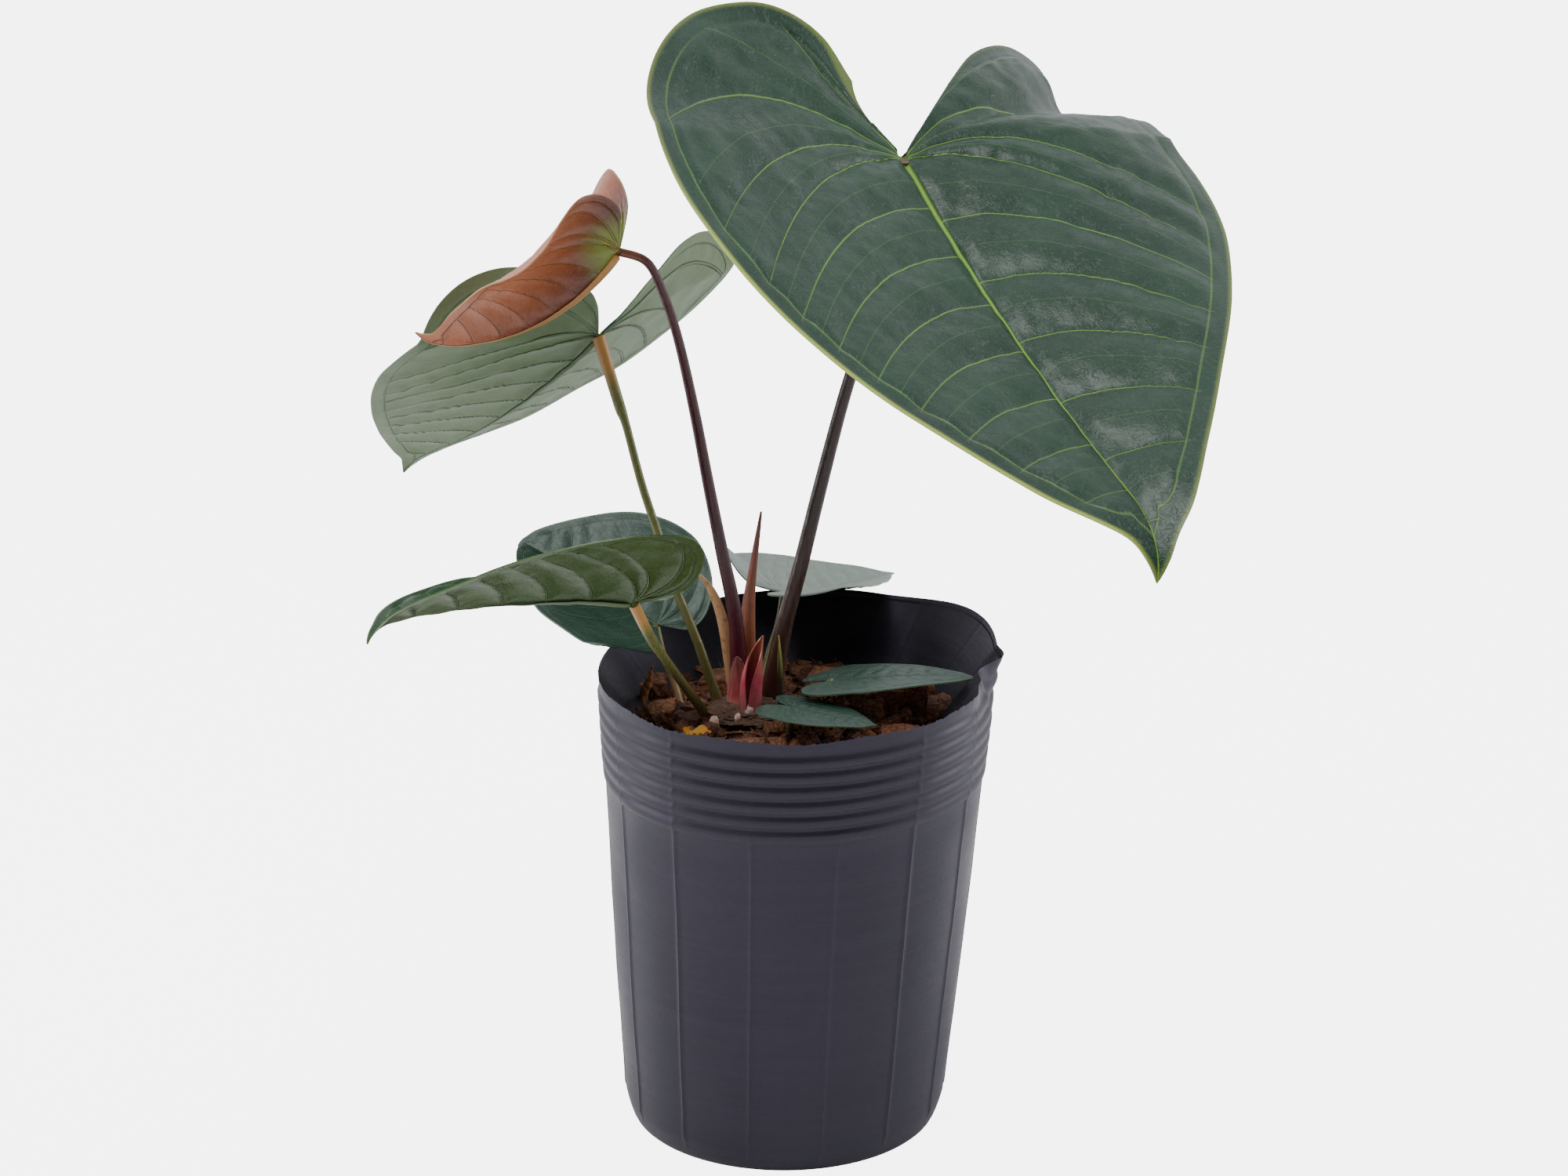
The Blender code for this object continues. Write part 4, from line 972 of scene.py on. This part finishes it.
# ---------------------------------------------------------------- bark mix and litter


class Bed:
    """Finds how high the potting mix stands under a point."""

    def __init__(self, node):
        mesh = node.data
        self.tree = BVHTree.FromPolygons([v.co for v in mesh.vertices], [p.vertices for p in mesh.polygons])

    def level(self, x, y):
        hit = self.tree.ray_cast(Vector((x, y, 0.3)), Vector((0, 0, -1)))[0]
        return None if hit is None else hit.z


def join(pieces, name, paint):
    nothing_selected()
    for part in pieces:
        part.select_set(True)
    bpy.context.view_layer.objects.active = pieces[0]
    bpy.ops.object.join()
    return named(name, paint)


def chip(seed, cuts, rough):
    """A broken flake of bark, about one across, to be copied."""
    nothing_selected()
    bpy.ops.mesh.primitive_cube_add(size=1.0)
    made = named("bark_flake_%d" % seed)
    edit(made)
    bpy.ops.mesh.subdivide(number_cuts=cuts, smoothness=0.35)
    bpy.ops.object.mode_set(mode="OBJECT")
    points = corners(made)
    push = grains(points, 1.7, seed, 0.3) * rough
    splits = np.sign(np.sin(points[:, 2:3] * 9 + grain(points, 1.5, seed)[:, None] * 3)) * 0.035 * rough
    fine = grains(points, 6.0, seed, 0.3) * rough * 0.22
    move_corners(made, points * (1 + splits) + push + fine)
    tone_map(made, 0.0)
    return made


def copy_of(prototype, matrix, tone):
    """A copy with a mesh and a tone of its own, in its place."""
    made = prototype.copy()
    made.data = prototype.data.copy()
    bpy.context.scene.collection.objects.link(made)
    made.data.transform(matrix)
    tone_map(made, tone)
    return made


def turned(place, size, angles):
    turn = Matrix.Rotation(angles[0], 4, "X") @ Matrix.Rotation(angles[1], 4, "Y")
    scale = Matrix.Diagonal((*size, 1.0))
    return Matrix.Translation(place) @ Matrix.Rotation(angles[2], 4, "Z") @ turn @ scale


def scatter(bed, chance, count, reach, crown_clear):
    """Random places on the mix, evenly spread over it."""
    places = []
    while len(places) < count:
        radius = reach * math.sqrt(chance.random())
        angle = chance.uniform(0, math.tau)
        x, y = radius * math.cos(angle) + TOP_LEAN * 0.8, radius * math.sin(angle)
        level = bed.level(x, y)
        if level is None or math.hypot(x + 0.0126, y + 0.005) < crown_clear:
            continue
        places.append((x, y, level))
    return places


def make_mix_bed(node, paint):
    """The body of the mix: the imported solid's own shape, its top broken up into a rough crust."""
    made = node.copy()
    made.data = node.data.copy()
    for key in list(made.keys()):
        del made[key]
    made.parent = None
    bpy.context.scene.collection.objects.link(made)
    only(made)
    named("mix_bed", paint)
    weld(made, 1e-5)
    edit(made, lambda p: p.center.z > 0.148 and p.normal.z > 0.3)
    bpy.ops.mesh.subdivide(number_cuts=7)
    bpy.ops.object.mode_set(mode="OBJECT")
    points = corners(made)
    inside = smoothstep(np.hypot(points[:, 0] - 0.004, points[:, 1]), 0.0715, 0.067)
    top = smoothstep(points[:, 2], 0.150, 0.1535) * inside
    rough = grain(points, 130.0, 3.0) * 0.0014 + grain(points, 380.0, 5.0) * 0.0009
    points[:, 2] += (rough - 0.0008) * top
    move_corners(made, points)
    tone_map(made, 0.35)
    smooth(made, 50)
    return made


def make_litter(bed, paint, count):
    """Hundreds of small bark chips on the mix, joined into one layer."""
    chance = random.Random(31)
    flakes = [chip(seed, 1, 0.30) for seed in range(1, 7)]
    copies = []
    for x, y, level in scatter(bed, chance, count, 0.0645, 0.008):
        long = chance.triangular(0.0022, 0.0095, 0.0036)
        size = (long, long * chance.uniform(0.45, 0.8), long * chance.uniform(0.25, 0.6))
        lean = (chance.gauss(0, 0.45), chance.gauss(0, 0.45), chance.uniform(0, math.tau))
        room = min(1.0, (0.0668 - math.hypot(x - 0.004, y)) / 0.004)
        place = (x, y, level + size[2] * chance.uniform(0.0, 0.75) + 0.001 * room)
        copies.append(copy_of(chance.choice(flakes), turned(place, size, lean), chance.random()))
    for flake in flakes:
        bpy.data.objects.remove(flake, do_unlink=True)
    made = join(copies, "bark_litter", paint)
    smooth(made, 30)
    return made


def make_fibres(bed, paint, count):
    """Coir fibres and fine twigs that lie and poke out of the mix, joined into one tangle."""
    chance = random.Random(77)
    strands = []
    for seed in range(4):
        bend = 0.25 + 0.22 * seed
        path = [(1000 * math.sin(t * bend * 3) / 6, 1000 * math.sin(t * 4 + seed) * 0.05, 1000 * (t - 0.5),
                 26 * (1.1 - t)) for t in (0.0, 0.25, 0.5, 0.75, 1.0)]
        strands.append(stem("fibre_%d" % seed, path, paint, sides=0, steps=6))
        tone_map(strands[-1], 0.0)
    copies = []
    for x, y, level in scatter(bed, chance, count, 0.060, 0.004):
        long = chance.triangular(0.006, 0.026, 0.011)
        thick = chance.uniform(0.45, 1.0) * 0.018
        lean = (math.radians(chance.uniform(62, 105)), chance.gauss(0, 0.3), chance.uniform(0, math.tau))
        place = (x * 0.97, y * 0.97, level + 0.0022 + abs(math.cos(lean[0])) * long * 0.3)
        strand = chance.choice(strands)
        copies.append(copy_of(strand, turned(place, (thick, thick, long), lean), chance.random()))
    for strand in strands:
        bpy.data.objects.remove(strand, do_unlink=True)
    made = join(copies, "coir_fibres", paint)
    smooth(made)
    return made


def make_big_chip(node, seed, paint, tone):
    """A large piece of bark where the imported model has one: layered, split and sunk a little in the mix."""
    low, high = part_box(node)
    middle = (low + high) / 2
    size = (high - low) * 1.12
    rough = chip(seed, 13, 0.20)
    matrix = turned((middle.x, middle.y, middle.z - size.z * 0.14), size, (0.06, -0.05, 0.0))
    made = copy_of(rough, matrix, tone)
    bpy.data.objects.remove(rough, do_unlink=True)
    only(made)
    named(node + "_broken", paint)
    weld(made)
    smooth(made, 32)
    return made


def lump(name, node, paint, rough, scale, seed, detail=4, grow=1.0):
    """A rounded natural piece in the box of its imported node, with noise of its own for a surface."""
    low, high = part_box(node)
    middle = (low + high) / 2
    nothing_selected()
    bpy.ops.mesh.primitive_ico_sphere_add(subdivisions=detail, radius=1.0)
    made = named(name, paint)
    points = corners(made)
    push = 1 + rough * grain(points, scale, seed) + rough * 0.45 * grain(points, scale * 3.1, seed + 1)
    size = np.array((high - low) / 2) * grow
    move_corners(made, points * push[:, None] * size + np.array(middle))
    tone_map(made, 0.4)
    smooth(made)
    return made


def plain_paint(name, dark, light, scale, rough, depth, coat=0.0):
    """A mottled natural surface of two shades, with pores."""
    paint = Paint(name, light, Coat_Roughness=0.3)
    spot = paint.place()
    blotch = paint.noise(spot, scale, 4.0, 0.6)
    pores = paint.cells(spot, scale * 2.2)
    colour = paint.mix(paint.step(blotch, 0.3, 0.7), dark, light)
    paint.set("Base Color", paint.mix(paint.step(pores, 0.0, 0.12, 0.35, 0.0), colour, dark))
    paint.set("Roughness", paint.step(blotch, 0.3, 0.7, rough - 0.08, rough + 0.08))
    paint.set("Coat Weight", paint.step(blotch, 0.3, 0.7, coat, coat * 0.6))
    paint.set("Normal", paint.bump(blotch * 0.6 + pores * 0.6, depth, 0.8))
    return paint


def make_rhizome(paint):
    """The old stem base: a knobbly brown crown with rings of leaf scars."""
    made = lump("rhizome_crown", "rhizome", paint, 0.20, 2.2, 5.0, detail=6, grow=1.04)
    points = corners(made)
    centre = points.mean(0)
    around = points - centre
    rings = np.sin(np.hypot(around[:, 0], around[:, 1]) / 0.0011 + 2 * grain(points, 120.0, 2.0))
    points += around / np.linalg.norm(around, axis=1)[:, None] * (rings * 0.00028)[:, None]
    points[:, 2] -= 0.0006
    move_corners(made, points)
    return made


# Pale buds on the stem base: shares of its box across, back and up, and their half sizes.
CROWN_BUDS = [
    (0.50, 0.16, 0.88, (0.0019, 0.0016, 0.0034)), (0.34, 0.07, 0.62, (0.0015, 0.0013, 0.0020)),
    (0.68, 0.10, 0.70, (0.0014, 0.0012, 0.0022)),
]


def crown_bud(name, place, size, paint):
    """A pale bud that swells out of the stem base and narrows to a point."""
    nothing_selected()
    bpy.ops.mesh.primitive_uv_sphere_add(segments=20, ring_count=14, radius=1.0)
    made = named(name, paint)
    points = corners(made)
    points[:, :2] *= (1 - 0.45 * smoothstep(points[:, 2:3], 0.0, 1.0))
    points += 0.08 * grains(points, 2.0)
    points[:, 0] += 0.35 * points[:, 2]
    move_corners(made, points * np.array(size) + np.array(place))
    smooth(made)
    return made


def make_scrap(paint):
    """A curled bit of a fallen yellow leaf."""
    low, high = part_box("yellow_scrap")
    middle = (low + high) / 2
    made, column, row = grid("fallen_leaf_scrap", 26, 18, paint)
    u, v = column / 26 - 0.5, row / 18 - 0.5
    size = high - low
    round_off = np.sqrt(np.clip(1 - (2 * v) ** 2 * 0.7, 0, 1))
    x = u * size.x * 0.96 * round_off
    y = v * size.y * 0.96
    crinkle = 0.0004 * grain(np.stack([u, v, u * 0], 1), 9.0)
    z = 0.0024 + size.z * (0.35 - 1.4 * v * v + 0.35 * np.sin(u * 7)) + crinkle
    move_corners(made, np.stack([middle.x + x, middle.y + y, middle.z + z], 1))
    uv_map(made, "along", u + 0.5, v + 0.5)
    apply(made, "SOLIDIFY", thickness=0.0006, offset=0.0)
    weld(made)
    smooth(made, 50)
    return made


# ---------------------------------------------------------------- settings a user may change


class AnthuriumLeafSettings(bpy.types.PropertyGroup):
    quilting: bpy.props.FloatProperty(
        name="Quilting", description="How strongly the blades swell between their veins",
        default=1.0, min=0, max=2, subtype="FACTOR")
    groove: bpy.props.FloatProperty(
        name="Vein groove", description="How deep the veins lie in the upper side",
        default=1.0, min=0, max=2, subtype="FACTOR")


class AnthuriumPotSettings(bpy.types.PropertyGroup):
    tear: bpy.props.FloatProperty(
        name="Ragged rim", description="How far the teeth of the cut front rim stand up",
        default=0.0009, min=0, max=0.003, unit="LENGTH")


class AnthuriumMixSettings(bpy.types.PropertyGroup):
    chips: bpy.props.IntProperty(
        name="Bark chips", description="How many small chips lie on the mix", default=620, min=1, max=2000)
    fibres: bpy.props.IntProperty(
        name="Coir fibres", description="How many fibres lie and poke out of the mix",
        default=260, min=1, max=1000)
    dark: bpy.props.FloatVectorProperty(
        name="Dark bark", description="Colour of the wettest bark",
        default=(0.028, 0.010, 0.007), subtype="COLOR")
    light: bpy.props.FloatVectorProperty(
        name="Light bark", description="Colour of most of the bark",
        default=(0.15, 0.052, 0.026), subtype="COLOR")
    orange: bpy.props.FloatVectorProperty(
        name="Fresh bark", description="Colour of freshly broken bark",
        default=(0.42, 0.17, 0.07), subtype="COLOR")


class AnthuriumStudioSettings(bpy.types.PropertyGroup):
    sky: bpy.props.FloatProperty(
        name="Studio glow", description="Strength of the white all round the plant",
        default=0.9, min=0, max=4)
    key: bpy.props.FloatProperty(
        name="Softbox", description="Power of the large light overhead", default=34.0, min=0, unit="POWER")


# ---------------------------------------------------------------- operators


class ANTHURIUM_OT_camera(bpy.types.Operator):
    """Stand the camera in front of the plant, looking a little down"""

    bl_idname = "anthurium.camera"
    bl_label = "Camera"

    def execute(self, context):
        bpy.ops.object.camera_add(location=(0.0, -2.270, 1.108), rotation=(math.radians(68.5), 0.0, 0.0))
        camera = bpy.context.object
        camera.name = "studio_camera"
        camera.data.lens = 150.0
        camera.data.sensor_width = 36.0
        context.scene.camera = camera
        return {"FINISHED"}


class ANTHURIUM_OT_pot(bpy.types.Operator):
    """Build the soft ribbed nursery pot"""

    bl_idname = "anthurium.pot"
    bl_label = "Nursery pot"

    def execute(self, context):
        rides(make_pot(context.scene.anthurium_pot.tear), "pot_plastic", "nursery_pot")
        return {"FINISHED"}


class ANTHURIUM_OT_mix(bpy.types.Operator):
    """Build the bark mix with its chips and fibres"""

    bl_idname = "anthurium.mix"
    bl_label = "Bark mix"

    def execute(self, context):
        looks = context.scene.anthurium_mix
        dark, light, orange = tuple(looks.dark), tuple(looks.light), tuple(looks.orange)
        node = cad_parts["potting_mix"]
        bed = Bed(node)
        rides(make_mix_bed(node, bark_paint("mix_crust", dark, light, 420.0)), "bark_mix", "potting_mix")
        litter = bark_paint("chip_bark", dark, light, 520.0, orange)
        rides(make_litter(bed, litter, looks.chips), "bark_mix")
        fibre = bark_paint("coir", (0.07, 0.028, 0.014), (0.26, 0.11, 0.045), 700.0, (0.46, 0.25, 0.11))
        rides(make_fibres(bed, fibre, looks.fibres), "bark_mix")
        return {"FINISHED"}


class ANTHURIUM_OT_litter(bpy.types.Operator):
    """Build the large bark pieces, grains and fallen scraps"""

    bl_idname = "anthurium.litter"
    bl_label = "Large bark and scraps"

    def execute(self, context):
        looks = context.scene.anthurium_mix
        dark, orange = tuple(looks.dark), tuple(looks.orange)
        fresh = bark_paint("broken_bark", dark, (0.26, 0.095, 0.040), 300.0, orange)
        for number in range(1, 11):
            node = f"bark_chip_{number}"
            tone = 0.85 if number in (1, 4, 6) else 0.40
            rides(make_big_chip(node, 40 + number, fresh, tone), "bark", node)
        white = (0.80, 0.77, 0.70)
        grain_paint = plain_paint("perlite_grain", (0.55, 0.50, 0.42), white, 900.0, 0.85, 0.0006)
        for number in range(1, 5):
            node = f"perlite_{number}"
            rides(lump(node + "_grain", node, grain_paint, 0.16, 2.4, number, 3), "perlite", node)
        low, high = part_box("bark_splinter")
        path = [(low.x + 0.0012, low.y + 0.0012, low.z - 0.003, 0.0018),
                (low.x + 0.0025, low.y + 0.002, low.z + 0.007, 0.0017),
                (high.x - 0.0022, high.y - 0.0018, high.z - 0.006, 0.0015),
                (high.x - 0.001, high.y - 0.0015, high.z, 0.0005)]
        splinter = stem("bark_splinter_twig", [[v / MM for v in row] for row in path], fresh, 4, 24)
        points = corners(splinter)
        move_corners(splinter, points + 0.0005 * grains(points, 500.0))
        tone_map(splinter, 0.8)
        rides(splinter, "bark", "bark_splinter")
        yellows = ((0.80, 0.33, 0.015), (0.78, 0.40, 0.03), (0.62, 0.20, 0.02))
        scrap = sheath_paint("fallen_leaf", *yellows, 0.42)
        rides(make_scrap(scrap), "dead_leaf", "yellow_scrap")
        nub = plain_paint("root_tip", (0.55, 0.33, 0.26), (0.78, 0.62, 0.55), 500.0, 0.45, 0.0004, 0.2)
        rides(lump("root_tip", "root_nub", nub, 0.10, 1.6, 8.0, grow=1.35), "root_pale", "root_nub")
        low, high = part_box("rhizome")
        for number, (across, forward, up, size) in enumerate(CROWN_BUDS):
            place = (low.x + (high.x - low.x) * across, low.y + (high.y - low.y) * forward,
                     low.z + (high.z - low.z) * up)
            rides(crown_bud(f"crown_bud_{number + 1}", place, size, nub), "root_pale")
        return {"FINISHED"}


class ANTHURIUM_OT_crown(bpy.types.Operator):
    """Build the stem base with its sheaths, bud and shoot"""

    bl_idname = "anthurium.crown"
    bl_label = "Crown and sheaths"

    def execute(self, context):
        brown = plain_paint("rhizome_skin", (0.045, 0.020, 0.013), (0.17, 0.085, 0.048), 420.0, 0.7, 0.0009)
        rides(make_rhizome(brown), "rhizome", "rhizome")
        for name, (stations, foot, middle, tip, start, sweep, slot, dry, point) in SHEATHS.items():
            paint = sheath_paint(name + "_skin", foot, middle, tip, 0.36 + 0.25 * dry, dry)
            rides(wrapped(name + "_wrap", stations, paint, start, sweep, point), slot, name)
        return {"FINISHED"}


class ANTHURIUM_OT_stalks(bpy.types.Operator):
    """Build the stalk of every leaf"""

    bl_idname = "anthurium.stalks"
    bl_label = "Stalks"

    def execute(self, context):
        for kind, stations in STALKS.items():
            blade = LEAF_SHAPES[kind]
            held = (blade.at - blade.up * 0.0004) / MM
            path = stations[:-1] + [(*held, stations[-1][3])]
            name = f"stalk_{kind}_skin"
            paint = stalk_paint(name, tuple(blade.at), *STALK_SKINS.get(kind, PLAIN_STALK_SKIN))
            made = stem(name, path, paint, 6, 72)
            slot = "stalk_maroon" if kind in ("large", "bronze") else "stalk_olive"
            rides(made, slot, f"stalk_{kind}")
        return {"FINISHED"}


class ANTHURIUM_OT_leaves(bpy.types.Operator):
    """Build the eight quilted, veined blades"""

    bl_idname = "anthurium.leaves"
    bl_label = "Leaves"

    def execute(self, context):
        looks = context.scene.anthurium_leaves
        for kind, blade in LEAF_SHAPES.items():
            steps, rings, quilt, groove, thin, keel = LEAF_BUILD[kind]
            top, under = leaf_paints(kind, blade.length)
            made = make_blade(f"leaf_{kind}_blade", blade, top, under, steps, rings, quilt * looks.quilting,
                              groove * looks.groove, thin, keel, LEAF_FOLDS.get(kind, ()))
            rides(made, LEAF_SLOTS.get(kind, "leaf_green"), f"leaf_{kind}")
        return {"FINISHED"}


class ANTHURIUM_OT_stage(bpy.types.Operator):
    """Lay the pale floor and set the soft studio lights"""

    bl_idname = "anthurium.stage"
    bl_label = "Studio"

    def execute(self, context):
        looks = context.scene.anthurium_studio
        nothing_selected()
        bpy.ops.mesh.primitive_plane_add(size=14.0, location=(0.0, 0.0, 0.0))
        floor = named("studio_floor", self.floor_paint())
        self.light("overhead_softbox", (-0.3, -0.5, 1.9), (0.0, 0.0, 0.25), (1.5, 1.2), looks.key)
        self.light("left_softbox", (-1.7, 0.1, 0.55), (0.0, 0.0, 0.2), (0.7, 1.5), looks.key * 0.55)
        self.light("right_softbox", (1.7, 0.25, 0.55), (0.0, 0.0, 0.2), (0.7, 1.5), looks.key * 0.55)
        context.scene.world = self.surroundings(looks.sky)
        return {"FINISHED"}

    @staticmethod
    def surroundings(strength):
        """White all round, dimmer on the side that the plant faces, and full white to the camera."""
        world = bpy.data.worlds.new("studio_glow")
        world.use_nodes = True
        paint = Paint.on(world.node_tree, world.node_tree.nodes["Background"])
        facing = paint.parts(paint.node("ShaderNodeTexCoord", output="Generated"))[1]
        seen = paint.node("ShaderNodeLightPath", output="Is Camera Ray")
        ambient = paint.step(facing, -0.7, 0.6, 0.30 * strength, 1.25 * strength)
        paint.set("Color", (0.955, 0.955, 1.0))
        paint.set("Strength", ambient * (1 - seen) + seen * 7.0)
        return world

    @staticmethod
    def floor_paint():
        paint = Paint("studio_white", (0.93, 0.93, 0.94))
        cloud = paint.noise(paint.place(), 1.5, 2.0)
        paint.set("Base Color", paint.mix(cloud, (0.92, 0.92, 0.93), (0.94, 0.94, 0.95)))
        paint.set("Roughness", paint.step(cloud, 0.3, 0.7, 0.75, 0.85))
        seen = paint.node("ShaderNodeLightPath", output="Is Camera Ray")
        lift = paint.node("ShaderNodeEmission", None, {"Color": (0.96, 0.96, 1.0), "Strength": 8.0})
        matt = Wire(paint, paint.shader.outputs[0])
        lifted = paint.node("ShaderNodeMixShader", None, {0: seen * 0.72, 1: matt, 2: lift})
        paint.put(paint.tree.nodes["Material Output"].inputs["Surface"], lifted)
        return paint

    @staticmethod
    def light(name, place, aim, size, power):
        turn = (Vector(aim) - Vector(place)).to_track_quat("-Z", "Y").to_euler()
        bpy.ops.object.light_add(type="AREA", location=place, rotation=turn)
        made = bpy.context.object
        made.name = name
        made.data.shape = "RECTANGLE"
        made.data.size, made.data.size_y = size
        made.data.energy = power


# ---------------------------------------------------------------- panel and run


class ANTHURIUM_PT_panel(bpy.types.Panel):
    """The pieces of the potted anthurium"""

    bl_label = "Potted Anthurium"
    bl_idname = "ANTHURIUM_PT_panel"
    bl_space_type = "VIEW_3D"
    bl_region_type = "UI"
    bl_category = "Anthurium"

    def draw(self, context):
        scene = context.scene
        for group, names in SETTINGS_SHOWN.items():
            for name in names:
                self.layout.prop(getattr(scene, group), name)
        for operator in OPERATORS:
            self.layout.operator(operator.bl_idname)


SETTINGS_SHOWN = {
    "anthurium_leaves": ("quilting", "groove"), "anthurium_pot": ("tear",),
    "anthurium_mix": ("chips", "fibres", "dark", "light", "orange"), "anthurium_studio": ("sky", "key"),
}
OPERATORS = (
    ANTHURIUM_OT_camera, ANTHURIUM_OT_pot, ANTHURIUM_OT_mix, ANTHURIUM_OT_litter, ANTHURIUM_OT_crown,
    ANTHURIUM_OT_stalks, ANTHURIUM_OT_leaves, ANTHURIUM_OT_stage,
)
GROUPS = {
    "anthurium_leaves": AnthuriumLeafSettings, "anthurium_pot": AnthuriumPotSettings,
    "anthurium_mix": AnthuriumMixSettings, "anthurium_studio": AnthuriumStudioSettings,
}


def register():
    for group in GROUPS.values():
        bpy.utils.register_class(group)
    for name, group in GROUPS.items():
        setattr(bpy.types.Scene, name, bpy.props.PointerProperty(type=group))
    for operator in OPERATORS:
        bpy.utils.register_class(operator)
    bpy.utils.register_class(ANTHURIUM_PT_panel)


def unregister():
    bpy.utils.unregister_class(ANTHURIUM_PT_panel)
    for operator in reversed(OPERATORS):
        bpy.utils.unregister_class(operator)
    for name, group in GROUPS.items():
        delattr(bpy.types.Scene, name)
        bpy.utils.unregister_class(group)


def main():
    register()
    bpy.ops.anthurium.camera()
    bpy.ops.anthurium.pot()
    bpy.ops.anthurium.mix()
    bpy.ops.anthurium.litter()
    bpy.ops.anthurium.crown()
    bpy.ops.anthurium.stalks()
    bpy.ops.anthurium.leaves()
    bpy.ops.anthurium.stage()


if __name__ == "__main__":
    main()
